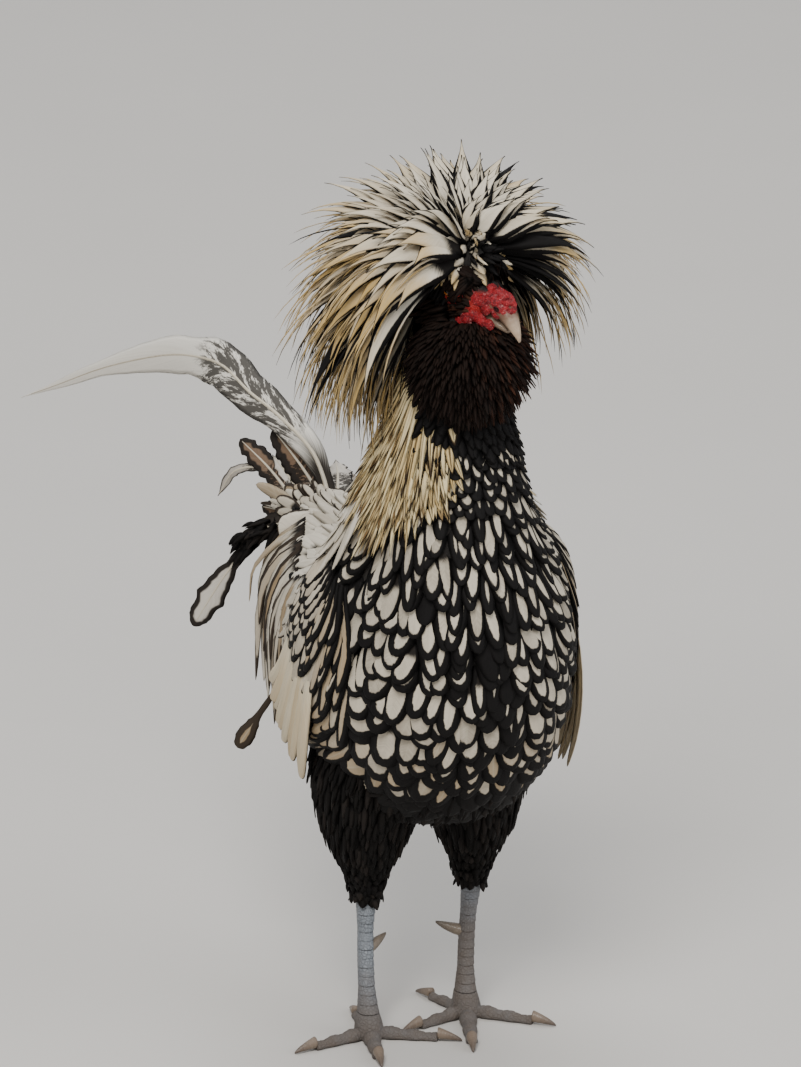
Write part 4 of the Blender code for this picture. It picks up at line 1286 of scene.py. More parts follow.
@dataclass
class Skin:
    """One skin under the plumage, from the crown to the tail and down to the hocks, with the face."""

    body: BodyForm
    head: HeadForm
    legs: "LegForm"
    marks: Markings
    neck_depth: float = 3.5
    trunk_depth: float = 5.5
    thigh_depth: float = 4.0
    knob_at: Triple = (-5.0, -51.0, 451.0)
    knob: Triple = (16.0, 17.0, 12.0)
    beard_at: Triple = (-6.0, -66.0, 401.0)
    beard: Triple = (25.0, 16.0, 23.0)
    lid: float = 1.3
    ear: Pair = (3.2, 1.3)

    def trunk(self) -> Surface:
        """Neck and trunk: the outline lowered by the coat's depth.

        Returns:
            The surface.
        """
        s = np.linspace(0, 10, 74)[:, None]
        depth = self.neck_depth + (self.trunk_depth - self.neck_depth) * smooth(2.5, 3.6, s)
        points, _ = self.body.point(s, turns(56)[None, :], -depth)
        return Surface.tube(points)

    def rim(self, at: Triple, radius: float, thick: float, side: Side, fold: float) -> Surface:
        """A rounded rim against the side of the head: a circle of small circles, pinched fore and aft.

        Args:
            at: its middle, as the head counts.
            radius: of its middle line.
            thick: radius of its roll.
            side: of the head.
            fold: how much its roll swells above.

        Returns:
            The closed ring.
        """
        turn, roll = turns(40)[:, None], turns(10)[None, :]
        size = thick * (1 + fold * np.sin(turn))
        reach = radius + size * np.cos(roll)
        places = np.stack(
            [
                at[0] + np.cos(turn) * reach * 1.1,
                (at[1] + 0.9 + size * np.sin(roll)) * side.value + 0 * turn,
                at[2] + np.sin(turn) * reach * 0.94,
            ],
            axis=-1,
        )
        faces = grid_faces(41, 10, True) % (40 * 10)
        return Surface(self.head.point_at(places).reshape(-1, 3), faces).outwards()

    def build(self) -> Surface:
        """The skin with its values: bare where the face is red, white where the plumage is pale.

        Returns:
            The surface.
        """
        parts = [self.trunk(), self.head.loft(self.head.skull, 48, 44)]
        parts.append(ellipsoid(self.knob_at, self.knob, rows=20))
        parts.append(ellipsoid(self.beard_at, self.beard, rows=24))
        for side in Side:
            parts.append(self.legs.thigh(side, self.thigh_depth))
            parts.append(self.rim(self.head.eye_at, self.head.eye_radius - 0.2, self.lid, side, 0.35))
            parts.append(self.rim(self.head.ear_at, *self.ear, side, 0.2))
        skin = union(parts)
        ahead, left, up = self.head.own(skin.points).T
        face = smooth(15, 19, ahead) * smooth(9, 6, up) * smooth(-15, -11, up) * (abs(left) < 25)
        around = np.linalg.norm((skin.points - self.head.point_at(self.head.eye_at)), axis=1)
        other = np.array(self.head.eye_at) * [1, -1, 1]
        around = np.minimum(around, np.linalg.norm(skin.points - self.head.point_at(other), axis=1))
        off_ear = np.array([ahead, abs(left), up]).T - np.array(self.head.ear_at)
        lobe = np.linalg.norm(off_ear * [1, 0.6, 1], axis=1)
        face = np.maximum(face, np.maximum(smooth(9.5, 8, around), smooth(6, 5, lobe)))
        skin.values["bare"] = face * (abs(ahead) < 40)
        behind, high = smooth(-60, 0, skin.points[:, 1]), smooth(200, 230, skin.points[:, 2])
        skin.values["white"] = behind * high * (1 - face)
        return skin

    def dress(self, dresser: Dresser) -> None:
        """Sets the skin on the bird."""
        nodes = ("torso", "neck", "head", "thigh_l", "thigh_r")
        dresser.dress("skin", self.build(), SkinFinish(), "red_skin", nodes)


class Coat:
    """Plumage that is one piece, with its name, its finish, its slot and the nodes it stands for."""

    piece: str
    finish: PlumeFinish
    slot: str
    nodes: tuple[str, ...] = ()

    def build(self, rng: Any) -> Surface:
        """The piece's surface."""
        raise NotImplementedError

    def dress(self, dresser: Dresser, rng: Any) -> None:
        """Sets the piece on the bird."""
        dresser.dress(self.piece, self.build(rng), self.finish, self.slot, self.nodes)


@dataclass
class BodyCoat(Coat):
    """The laced feathers of breast and flanks, down to the black of the belly.

    steps says how far apart the rows stand, in mm, at its places along the body.
    """

    piece, finish, slot = "body_coat", LACED_PLUME, "plume_white"
    body: BodyForm
    marks: Markings
    columns: int = 46
    span: Pair = (1.75, 9.3)
    half_angle: float = 128.0
    steps: Steps = (
        (1.8, 2.3, 2.9, 3.4, 4.0, 4.8, 6.0),
        (6.0, 8.5, 13.5, 13.0, 11.5, 10.5, 12.0),
    )
    length: float = 2.25
    wide: float = 0.84
    form: FeatherForm = FeatherForm(rows=9, columns=5, root=0.4, full=5.0, point=0.5, cup=0.2, thick=0.5)

    def spacing(self, s: Array, phi: Array) -> Array:
        """Millimetres from row to row."""
        return np.interp(s, *self.steps)

    def build(self, rng: Any) -> Surface:
        """All the laced feathers, laid down the body with each row's tips over the next row's roots.

        Args:
            rng: the random source.

        Returns:
            The surface.
        """
        s, phi = self.body.scatter(self.columns, self.spacing, self.span, rng)
        keep = abs(np.degrees(phi)) < self.half_angle - 20 * smooth(4.4, 5.4, s)
        s, phi = s[keep], phi[keep]
        phi = phi + np.radians(rng.uniform(-2.0, 2.0, s.shape))
        size = rng.uniform(0.78, 1.22, s.shape)
        length = self.spacing(s, phi) * self.length * size
        after, before = self.body.outline(s, phi + STEP), self.body.outline(s, phi - STEP)
        round_body = np.linalg.norm(after - before, axis=-1) / (2 * STEP)
        pitch = round_body * 2 * math.pi / self.columns
        wide = np.minimum(pitch * self.wide, 10.2) * rng.uniform(0.82, 1.16, s.shape)
        wide = wide * (1 + 0.25 * smooth(2.8, 2.0, s))
        drift = rng.uniform(-1, 1, s.shape) * (0.05 + 0.06 * smooth(2.2, 3, s))
        low, high = -5.0 + rng.uniform(-0.5, 0.5, s.shape), 0.2 + rng.uniform(-0.8, 1.1, s.shape)
        path, facing = self.body.lay(s, phi, length, self.form, (low, high), drift)
        values = {
            "lace": self.marks.lace(path[:, -1], s + 0.2, phi, rng),
            "tone": rng.uniform(0, 1, s.shape),
            "warm": smooth(215, 140, path[:, -1, 2]) * rng.uniform(0.1, 0.9, s.shape),
            "base": rng.uniform(0.2, 0.42, s.shape),
        }
        return self.form.grow(path, facing, wide, self.body.unwrap(s, phi), values)


@dataclass
class BellyFluff(Coat):
    """The soft black plumage under the belly, below the last laced feathers."""

    piece, finish, slot = "belly_fluff", BLACK_PLUME, "plume_black"
    body: BodyForm
    marks: Markings
    columns: int = 62
    span: Pair = (3.9, 8.4)
    spacing: float = 6.0
    form: FeatherForm = FeatherForm(rows=6, columns=3, root=0.6, full=2.4, point=0.8, cup=0.3, thick=0.6)

    def build(self, rng: Any) -> Surface:
        """The tufts, each two to three spacings long, where the belly is black.

        Args:
            rng: the random source.

        Returns:
            The surface.
        """
        s, phi = self.body.scatter(self.columns, lambda s, phi: np.full_like(s, self.spacing), self.span, rng)
        turn = abs(np.degrees(phi))
        keep = (self.body.outline(s, phi)[:, 2] < self.marks.line(turn) + 3) & (turn < 100)
        s, phi = s[keep], phi[keep]
        length = self.spacing * rng.uniform(2.0, 3.4, s.shape)
        high = 0.6 + rng.uniform(-1.2, 1.8, s.shape)
        drift = rng.uniform(-0.12, 0.12, s.shape)
        path, facing = self.body.lay(s, phi, length, self.form, (-4.0, high), drift)
        values = {"tone": rng.uniform(0, 1, s.shape), "warm": rng.uniform(0, 1, s.shape) ** 3}
        return self.form.grow(path, facing, rng.uniform(2.4, 3.8, s.shape), self.body.unwrap(s, phi), values)


@dataclass
class Throat(Coat):
    """The small black feathers down the front of the neck."""

    piece, finish, slot = "throat_coat", LACED_PLUME, "plume_black"
    body: BodyForm
    columns: int = 44
    half_angle: float = 112.0
    span: Pair = (0.4, 1.9)
    spacing: float = 5.0
    form: FeatherForm = FeatherForm(rows=6, columns=3, root=0.6, full=3.0, point=0.6, cup=0.25)

    def build(self, rng: Any) -> Surface:
        """The feathers, each about three spacings long, a few low ones with a white fleck.

        Args:
            rng: the random source.

        Returns:
            The surface.
        """
        s, phi = self.body.scatter(self.columns, lambda s, phi: np.full_like(s, self.spacing), self.span, rng)
        keep = abs(np.degrees(phi)) < self.half_angle
        s, phi = s[keep], phi[keep]
        length = self.spacing * rng.uniform(2.4, 3.4, s.shape)
        low, high = -3.6, 0.2 + rng.uniform(-0.8, 1.0, s.shape)
        path, facing = self.body.lay(s, phi, length, self.form, (low, high), rng.uniform(-0.1, 0.1, s.shape))
        fleck = (rng.uniform(0, 1, s.shape) < 0.26 * smooth(1.3, 1.8, s)) * 1.0
        values = {
            "lace": ALL_DARK * (1 - fleck) + 1.9 * fleck,
            "tone": rng.uniform(0, 1, s.shape),
            "warm": rng.uniform(0, 0.3, s.shape),
            "base": 0.5,
        }
        wide = rng.uniform(3.2, 4.2, s.shape)
        return self.form.grow(path, facing, wide, self.body.unwrap(s, phi), values)


@dataclass
class Hackle(Coat):
    """The cape of long pointed feathers that falls from the back and sides of the neck.

    Each row is the ring it springs from, how many rings it reaches, and where it ends on the left
    and on the right, in degrees from the front. edge says at which ring the cape's lower edge is, for
    directions counted from the front over the left side and the back.
    """

    piece, finish, slot = "hackle", HACKLE_PLUME, "plume_cream"
    body: BodyForm
    rows: Rows = (
        (0.2, 1.3, 104, 98),
        (1.0, 1.3, 100, 66),
        (1.5, 1.25, 98, 34),
        (1.85, 1.3, 98, 17),
        (2.5, 1.1, 98, 44),
    )
    edge_turns: Row = (98, 180, 240, 270, 285, 300, 314, 340, 350)
    edge: Row = (3.3, 3.6, 3.7, 3.5, 3.1, 2.75, 2.4, 2.05, 1.95)
    tiers: int = 28
    count: int = 46
    bed: float = 3.0
    form: FeatherForm = FeatherForm(rows=9, columns=3, root=0.5, full=2.4, point=0.8, crowd=1.2, cup=0.3)

    def build(self, rng: Any) -> Surface:
        """The cape: tiers between the named rows, each feather down the neck and a little outwards,
        shorter where the cape meets the throat.

        Args:
            rng: the random source.

        Returns:
            The surface.
        """
        tier = np.repeat(np.linspace(0, len(self.rows) - 1, self.tiers), self.count)
        s, reach, left, right = along(self.rows, tier).T
        share = (np.tile(np.arange(self.count), self.tiers) + rng.uniform(0, 1, s.shape)) / self.count
        span = 360 - left - right
        turn = left + span * share
        phi = np.radians(turn)
        back = 0.5 - 0.5 * np.cos(phi)
        v = self.form.stations()[None, :]
        room = np.interp(turn, self.edge_turns, self.edge) + rng.uniform(-0.16, 0.14, s.shape) - s
        reach = np.minimum(reach * rng.uniform(0.8, 1.12, s.shape), room)
        keep = reach > 0.32
        s, turn, phi, back, reach = s[keep], turn[keep], phi[keep], back[keep], reach[keep]
        lean = np.radians((turn - 180) * 0.05) + rng.uniform(-0.07, 0.07, s.shape)
        front = smooth(285, 312, turn)
        low, high = -2.5 - self.bed * back - 2.4 * front, 2.6 + rng.uniform(-1.6, 1.8, s.shape)
        s_way = (s + rng.uniform(-0.12, 0.12, s.shape) * (1 + 1.4 * front))[:, None] + reach[:, None] * v
        lift = low[:, None] + (high - low)[:, None] * v
        path, facing = self.body.point(s_way, phi[:, None] + lean[:, None] * v, lift)
        streaked = rng.uniform(0, 1, s.shape)
        values = {
            "lace": np.where(streaked < 0.26, rng.uniform(0.3, 1.3, s.shape), NO_RIM),
            "tone": rng.uniform(0, 1, s.shape),
            "warm": np.clip(rng.uniform(-0.9, 0.9, s.shape) + 0.3 * smooth(300, 180, turn), 0, 1),
            "base": 0.1 + 0.28 * front,
        }
        wide = rng.uniform(2.2, 3.9, s.shape)
        return self.form.grow(path, facing, wide, self.body.unwrap(s, phi), values)


@dataclass
class Crest:
    """The crest: tiers of plumes that spring from the crown and fall all round the head.

    Each tier is the slope a plume leaves at, the slope it ends at, its length and the half angle
    left open over the bill, in degrees and mm, from the top plumes to the lowest ones. swept says
    where plumes end, in degrees from the bill, for the directions they spring in, on each side.
    """

    head: HeadForm
    at: Triple = (-5.0, -51.0, 451.0)
    core: Triple = (20.0, 21.0, 15.0)
    tiers: Rows = (
        (84, 50, 36, 0),
        (67, 28, 54, 12),
        (50, 2, 69, 22),
        (32, -32, 84, 32),
        (12, -64, 104, 44),
        (-14, -84, 124, 60),
        (-34, -88, 126, 94),
        (-58, -92, 118, 110),
    )
    counts: tuple[int, ...] = (14, 18, 22, 27, 34, 41, 47, 52, 56, 58, 58, 54, 50, 46, 44)
    fullness: Steps = ((-180, -40, 20, 70, 120, 180), (0.86, 0.85, 0.8, 0.78, 0.87, 0.87))
    shortens: Steps = ((0, 48, 90, 132, 180), (0.5, 0.74, 0.88, 1.0, 1.0))
    swept_from: Row = (0, 30, 60, 90, 180)
    swept_right: Row = (66, 88, 104, 117, 180)
    swept_left: Row = (30, 48, 68, 95, 180)
    neck_axis: Pair = (-5.0, -50.0)
    clear_heights: Row = (0, 300, 350, 395, 415, 430, 442, 450, 900)
    clear_radii: Row = (66, 58, 50, 45, 43, 33, 19, 0, 0)
    clear_behind: float = 0.66
    strands: int = 760
    fringe: int = 460
    plume: FeatherForm = FeatherForm(
        rows=11, columns=5, root=0.35, widest=0.36, full=3.0, point=0.6, crowd=1.1,
        strand=0.16, strand_from=0.5, strand_to=0.95, cup=0.22, thick=0.45,
    )
    strand_form: FeatherForm = FeatherForm(
        rows=11, columns=3, root=0.6, widest=0.3, full=2.0, point=0.7, crowd=1.0, cup=0.3, thick=0.5,
    )
    fringe_form: FeatherForm = FeatherForm(
        rows=8, columns=3, root=0.5, full=2.0, point=0.8, crowd=1.3, cup=0.3
    )

    def clear(self, path: Array) -> Array:
        """The paths kept outside the beard, the face and the hackle: pushed out from an upright line.

        Args:
            path: the paths' points.

        Returns:
            The points, moved level.
        """
        away = path[..., :2] - np.array(self.neck_axis)
        far = np.maximum(np.linalg.norm(away, axis=-1), 1e-3)
        behind = 0.5 - 0.5 * (away @ unit(self.head.axes()[0][:2])) / far
        room = np.interp(path[..., 2], self.clear_heights, self.clear_radii)
        push = np.maximum(room * (1 - (1 - self.clear_behind) * smooth(0.3, 0.6, behind)) / far, 1.0)
        return np.concatenate([np.array(self.neck_axis) + away * push[..., None], path[..., 2:]], axis=-1)

    def ways(self, turn: Array, tier: Array, form: FeatherForm, rng: Any) -> tuple[Array, Array]:
        """Paths and facings: each path steps along a slope that turns evenly from its rise to its fall.

        Args:
            turn: the direction each springs in from the bill, in degrees, positive to the left.
            tier: its tier, 0 at the top.
            form: the feather's make.
            rng: the random source.

        Returns:
            The paths and the directions their faces look in.
        """
        rise, fall, reach, _ = along(self.tiers, tier).T
        swept = np.where(turn < 0, -np.interp(-turn, self.swept_from, self.swept_right), 0.0)
        swept = np.where(turn >= 0, np.interp(turn, self.swept_from, self.swept_left), swept)
        length = reach * np.interp(abs(swept), *self.shortens) * rng.uniform(0.8, 1.12, turn.shape)
        length = length * np.interp(turn, *self.fullness)
        rise = rise + rng.uniform(-7, 7, turn.shape)
        fall = fall + rng.uniform(-12, 12, turn.shape)
        clump = 6 * np.sin(np.radians(turn) * 9 + tier * 2.2)
        yaw = np.radians(self.head.yaw - 90 + turn)
        level = np.cos(np.radians(rise))
        out = np.stack([np.cos(yaw) * level, np.sin(yaw) * level, np.sin(np.radians(rise))], axis=-1)
        root = np.array(self.at) + out * np.array(self.core) * 0.8
        v = form.stations()
        bend = np.radians(self.head.yaw - 90 + swept + clump + rng.uniform(-5, 5, turn.shape))[:, None]
        bend = bend + np.radians(rng.uniform(-16, 16, turn.shape))[:, None] * v
        slope = np.radians(rise[:, None] + (fall - rise)[:, None] * v**1.1)
        step = np.stack([np.cos(bend) * np.cos(slope), np.sin(bend) * np.cos(slope), np.sin(slope)], axis=-1)
        middle = (step[:, 1:] + step[:, :-1]) / 2 * np.diff(v)[None, :, None] * length[:, None, None]
        start = np.zeros((len(root), 1, 3))
        path = root[:, None] + np.concatenate([start, np.cumsum(middle, axis=1)], axis=1)
        flat = np.stack([np.cos(bend), np.sin(bend), 0 * bend], axis=-1)
        facing = UP * np.cos(slope)[..., None] - flat * np.sin(slope)[..., None]
        front = self.head.axes()[0] * [1, 1, 0] * np.maximum(0, np.cos(np.radians(turn * 0.75)))[:, None]
        return self.clear(path), unit(facing + (out * 0.5 + front * 0.9)[:, None])

    def bake(self, turn: Array, tier: Array) -> Array:
        """A root's place on the map: its direction across and its tier up."""
        return np.stack([0.04 + 0.92 * (turn / 360 % 1), 0.04 + 0.92 * tier / (len(self.tiers) - 1)], axis=-1)

    def plumes(self, rng: Any) -> Surface:
        """The broad plumes, each drawn out to a strand at its tip.

        Args:
            rng: the random source.

        Returns:
            The surface.
        """
        tier = np.repeat(np.linspace(0, len(self.tiers) - 1, len(self.counts)), self.counts)
        window = along(self.tiers, tier)[:, 3]
        share = np.concatenate([(np.arange(n) + rng.uniform(0.1, 0.9, n)) / n for n in self.counts])
        turn = (window + (360 - 2 * window) * share + 180) % 360 - 180
        path, facing = self.ways(turn, tier, self.plume, rng)
        wide = rng.uniform(5.2, 9.6, turn.shape) * (1 - 0.36 * smooth(2.6, 5.5, tier))
        wide = wide * (0.7 + 0.3 * smooth(0, 1.5, tier))
        return self.plume.grow(path, facing, wide, self.bake(turn, tier), self.colours(turn, tier, rng))

    def thin_strands(self, rng: Any) -> Surface:
        """Straw-coloured strands between and beyond the plumes, most of them low and to the back.

        Args:
            rng: the random source.

        Returns:
            The surface.
        """
        tier = (len(self.tiers) - 1) * rng.uniform(0.25, 1, self.strands) ** 0.62
        window = along(self.tiers, tier)[:, 3]
        turn = (window + (360 - 2 * window) * rng.uniform(0, 1, self.strands) + 180) % 360 - 180
        path, facing = self.ways(turn, tier, self.strand_form, rng)
        chance = rng.uniform(0, 1, turn.shape)
        values = {
            "lace": np.where(chance < 0.12, ALL_DARK, np.where(chance < 0.4, 0.4, NO_RIM)),
            "tone": rng.uniform(0, 1, turn.shape),
            "warm": rng.uniform(0.5, 1.0, turn.shape),
            "base": rng.uniform(0.3, 0.5, turn.shape),
        }
        wide = rng.uniform(0.7, 1.5, turn.shape)
        return self.strand_form.grow(path, facing, wide, self.bake(turn, tier), values)

    def forehead(self, rng: Any) -> Surface:
        """The short fringe over the bill: dark and cream feathers that stand up and outwards.

        Args:
            rng: the random source.

        Returns:
            The surface.
        """
        n = self.fringe
        turn = rng.uniform(-105, 80, n)
        rise = rng.uniform(-46, 72, n)
        yaw, slope = np.radians(self.head.yaw - 90 + turn), np.radians(rise)
        out = np.stack([np.cos(yaw) * np.cos(slope), np.sin(yaw) * np.cos(slope), np.sin(slope)], axis=-1)
        root = np.array(self.at) + out * np.array(self.core) * 0.74
        aside = np.stack([-np.sin(yaw), np.cos(yaw), 0 * yaw], axis=-1) * np.sign(turn + 8)[:, None]
        lift = 0.9 * smooth(-10, 40, rise) - 0.35
        part = (rng.uniform(0.2, 0.9, n) * (0.15 + 0.85 * smooth(4, 34, abs(turn + 8))))[:, None]
        way = unit(out * 0.55 + aside * part + UP * lift[:, None])
        longer = 0.8 + 0.5 * smooth(20, 80, abs(turn)) - 0.15 * smooth(0, -30, rise)
        length = rng.uniform(12, 20, n) * longer
        v = self.fringe_form.stations()[None, :, None]
        path = root[:, None] + (way * length[:, None])[:, None] * v - UP * 5 * v**2
        tuft = (abs(turn + 26) < 20) & (abs(rise - 18) < 22) | (abs(turn - 48) < 20) & (abs(rise - 4) < 18)
        cream = rng.uniform(0, 1, n) < 0.1 + 0.75 * tuft + 0.4 * smooth(35, 62, rise)
        full = cream & tuft
        values = {
            "lace": np.where(cream, rng.uniform(0.3, 1.0, n), ALL_DARK),
            "tone": rng.uniform(0, 1, n),
            "warm": rng.uniform(0.1, 0.8, n),
            "base": rng.uniform(0.25, 0.4, n) - 0.14 * full,
        }
        bake = self.bake(turn, (len(self.tiers) - 1) * (72 - rise) / 118)
        wide = rng.uniform(2.2, 3.4, n) + 0.8 * cream + 1.1 * full
        return self.fringe_form.grow(path, out, wide, bake, values)

    def colours(self, turn: Array, tier: Array, rng: Any) -> dict[str, Array]:
        """Rim width, tone, warmth and dark base of every plume: darker on the left side and low over
        the bill, whiter and broader-based at the top.

        Args:
            turn: each plume's direction from the bill, in degrees, positive to the left.
            tier: its tier, 0 at the top.
            rng: the random source.

        Returns:
            Named values, one a plume.
        """
        dark = smooth(5, 40, turn) * smooth(150, 95, turn) * smooth(0.8, 2.4, tier)
        dark = np.maximum(dark, smooth(75, 30, abs(turn)) * smooth(1.5, 3.0, tier) * 0.8)
        chance = rng.uniform(0, 1, turn.shape)
        lace = rng.uniform(1.2, 2.3, turn.shape) + 0.7 * smooth(2.5, 1.2, tier)
        lace = lace + dark * rng.uniform(0.3, 1.8, turn.shape)
        lace = np.where(chance < (0.03 + dark * 0.24) * (tier > 2.4), ALL_DARK, lace)
        return {
            "lace": lace,
            "tone": rng.uniform(0, 1, turn.shape),
            "warm": (0.12 + 0.88 * smooth(0.8, 4.0, tier)) * rng.uniform(0.35, 1, turn.shape),
            "base": rng.uniform(0.05, 0.14, turn.shape) + 0.19 * smooth(0.8, 3.2, tier) + 0.12 * dark,
        }

    def dress(self, dresser: Dresser, rng: Any) -> None:
        """Sets the crest on the bird.

        Args:
            dresser: what sets the pieces on the bird.
            rng: the random source.
        """
        dresser.dress("crest_plumes", self.plumes(rng), CREST_PLUME, "plume_cream", ("crest",))
        dresser.dress("crest_strands", self.thin_strands(rng), CREST_PLUME, "plume_cream")
        dresser.dress("crest_fringe", self.forehead(rng), CREST_PLUME, "plume_black")


@dataclass
class FaceCoat(Coat):
    """Small dark feathers over cheeks, crown and nape, which leave the eye, the ear and the red bare."""

    piece, finish, slot = "face_coat", BEARD_PLUME, "plume_black"
    head: HeadForm
    columns: int = 42
    spacing: float = 3.0
    span: Pair = (0.6, 6.4)
    eye_room: float = 7.4
    ear_room: float = 4.6
    cheek: tuple[Triple, Triple] = ((-22.0, 14.0, -16.0), (9.0, 17.0, -2.0))
    brow: tuple[Triple, Triple] = ((-6.0, 8.0, 12.0), (18.0, 14.0, 16.0))
    forehead: tuple[Triple, Triple] = ((8.0, 0.0, 10.0), (20.5, 7.0, 12.5))
    tufts: int = 130
    form: FeatherForm = FeatherForm(rows=5, columns=3, root=0.6, full=3.0, point=0.6, cup=0.25, thick=0.35)
    tuft_form: FeatherForm = FeatherForm(rows=7, columns=3, root=0.6, full=2.4, point=0.7, cup=0.3, thick=0.5)

    def muffs(self, rng: Any) -> Surface:
        """Longer tufts of cheeks and brows, which fall back and down over the side of the head.

        Args:
            rng: the random source.

        Returns:
            The surface.
        """
        paths, faces, bakes = [], [], []
        for side in Side:
            for (low, high), droop in ((self.cheek, 0.55), (self.brow, 1.15), (self.forehead, -0.25)):
                places = rng.uniform(low, high, (self.tufts, 3))
                turn = np.array([1, side.value, 1])
                axes = self.head.axes()
                root = self.head.point_at(places * turn)
                out = axes[1] * side.value + axes[2] * 0.15
                way = -axes[0] * rng.uniform(0.5, 1.1, (self.tufts, 1)) + out * 0.42 - np.array([0, 0, droop])
                length = rng.uniform(9, 16, (self.tufts, 1))
                v = self.tuft_form.stations()[None, :, None]
                path = root[:, None] + (unit(way) * length)[:, None] * v
                path = path + (out * 2.5)[None, None] * np.sin(v * 2.4)
                paths.append(path)
                faces.append(np.broadcast_to(out, root.shape))
                share = (places - low) / (np.array(high) - low)
                across = 0.25 + side.value * (0.04 + 0.16 * share[:, 0])
                bakes.append(np.stack([across, 0.1 + 0.8 * share[:, 2]], axis=1))
        path = np.concatenate(paths)
        count = len(path)
        values = {"tone": rng.uniform(0, 1, count), "warm": rng.uniform(0, 0.6, count) ** 2}
        bake = np.concatenate(bakes)
        return self.tuft_form.grow(path, np.concatenate(faces), rng.uniform(1.6, 2.6, count), bake, values)

    def short_feathers(self, rng: Any) -> Surface:
        """The feathers, from the bill backwards, each about three spacings long.

        Args:
            rng: the random source.

        Returns:
            The surface.
        """
        s, phi = self.head.scatter(self.columns, lambda s, phi: np.full_like(s, self.spacing), self.span, rng)
        own = self.head.own(self.head.outline(s, phi)) * [1, 0, 1]
        from_eye = np.linalg.norm(own - np.array(self.head.eye_at) * [1, 0, 1], axis=1)
        from_ear = np.linalg.norm(own - np.array(self.head.ear_at) * [1, 0, 1], axis=1)
        keep = (from_eye > self.eye_room) & (from_ear > self.ear_room)
        s, phi = s[keep], phi[keep]
        length = self.spacing * rng.uniform(1.8, 2.9, s.shape)
        low, high = -0.5, 1.0 + rng.uniform(-0.4, 0.8, s.shape)
        path, facing = self.head.lay(s, phi, length, self.form, (low, high), rng.uniform(-0.2, 0.2, s.shape))
        values = {"lace": -1.0, "tone": rng.uniform(0, 1, s.shape), "warm": rng.uniform(0, 1, s.shape) ** 3}
        wide = rng.uniform(1.5, 2.2, s.shape)
        return self.form.grow(path, facing, wide, self.head.unwrap(s, phi), values)

    def build(self, rng: Any) -> Surface:
        """Short feathers and tufts together."""
        return Surface.joined([self.short_feathers(rng), self.muffs(rng)])


@dataclass
class Beard(Coat):
    """Beard and muffs: small soft tufts on a full body of plumage round the lower face."""

    piece, finish, slot = "beard_tufts", BEARD_PLUME, "plume_black"
    nodes = ("beard",)
    head: HeadForm
    at: Triple = (-6.0, -66.0, 401.0)
    core: Triple = (30.0, 21.0, 28.0)
    rises: Pair = (62.0, -66.0)
    tiers: int = 24
    count: int = 54
    half_angle: float = 122.0
    mouth_at: Triple = (26.0, 0.0, 0.2)
    mouth_room: Triple = (18.0, 9.8, 7.6)
    form: FeatherForm = FeatherForm(rows=6, columns=3, root=0.6, full=2.4, point=0.8, cup=0.3, thick=0.6)

    def build(self, rng: Any) -> Surface:
        """The tufts: each leaves the round of the beard outwards and turns down, longer below.

        Args:
            rng: the random source.

        Returns:
            The surface.
        """
        tier = np.repeat(np.linspace(0, 1, self.tiers), self.count)
        share = (np.tile(np.arange(self.count), self.tiers) + rng.uniform(0, 1, tier.shape)) / self.count
        first, last = self.rises
        rise = np.radians(first + (last - first) * (tier + rng.uniform(-0.02, 0.02, tier.shape)))
        yaw = np.radians(self.head.yaw * 0.5 - 90 + self.half_angle * (2 * share - 1))
        level = np.stack([np.cos(yaw), np.sin(yaw), 0 * yaw], axis=-1)
        out = level * np.cos(rise)[:, None] + UP * np.sin(rise)[:, None]
        root = np.array(self.at) + out * np.array(self.core) * 0.8
        length = (10 + 5 * tier) * rng.uniform(0.75, 1.3, tier.shape)
        lean = 0.95 - 1.15 * tier + rng.uniform(-0.15, 0.35, tier.shape)
        fall = unit(level * lean[:, None] - UP)
        v = self.form.stations()[None, :, None]
        swell = (8 - 4 * tier)[:, None, None] * (1 - (1 - v) ** 2)
        path = root[:, None] + out[:, None] * swell + (fall * length[:, None])[:, None] * v**1.2
        own = self.head.own(path[:, -1]) - np.array(self.mouth_at)
        keep = ((own / np.array(self.mouth_room)) ** 2).sum(axis=1) >= 1
        facing = out + UP * 0.2
        wide = rng.uniform(1.6, 2.8, tier.shape)
        redder = 0.1 + 0.8 * smooth(-40, 40, np.degrees(yaw) + 90)
        values = {
            "tone": rng.uniform(0, 1, tier.shape),
            "warm": rng.uniform(0, 1, tier.shape) ** 2.2 * redder,
        }
        values = {key: value[keep] for key, value in values.items()}
        bake = np.stack([0.04 + 0.92 * share, 0.04 + 0.92 * tier], axis=-1)
        return self.form.grow(path[keep], facing[keep], wide[keep], bake[keep], values)


@dataclass(frozen=True)
class LongFeather:
    """One long feather: its way, half widths at even steps, colour values and raggedness."""

    way: tuple[Triple, ...]
    wide: Row
    lace: float = NO_RIM
    warm: float = 0.0
    tone: float = 0.5
    ragged: float = 0.06
    base: float = 0.2

    def grow(self, form: FeatherForm, facing: Triple, bake: Array, rng: Any) -> Surface:
        """The feather, its width broken by waves where it is worn and rounded off at its end.

        Args:
            form: its make.
            facing: where its face looks.
            bake: its place on the map.
            rng: the random source.

        Returns:
            Its surface.
        """
        v = form.stations()
        path = along(self.way, v * (len(self.way) - 1))[None]
        wide = along(np.asarray(self.wide)[:, None], v * (len(self.wide) - 1))[:, 0]
        waves = np.sin(v * 61 + rng.uniform(0, 6)) + np.sin(v * 37 + rng.uniform(0, 6))
        notches = 1 + self.ragged * (waves + rng.uniform(-0.6, 0.6, v.shape)) * (0.3 + 0.5 * v)
        wide = wide * notches * np.sqrt(1 - v**24)
        values = {"lace": self.lace, "tone": self.tone, "warm": self.warm, "base": self.base}
        return form.grow(path, np.array([facing]), np.maximum(wide, 0.25)[None], bake, values)


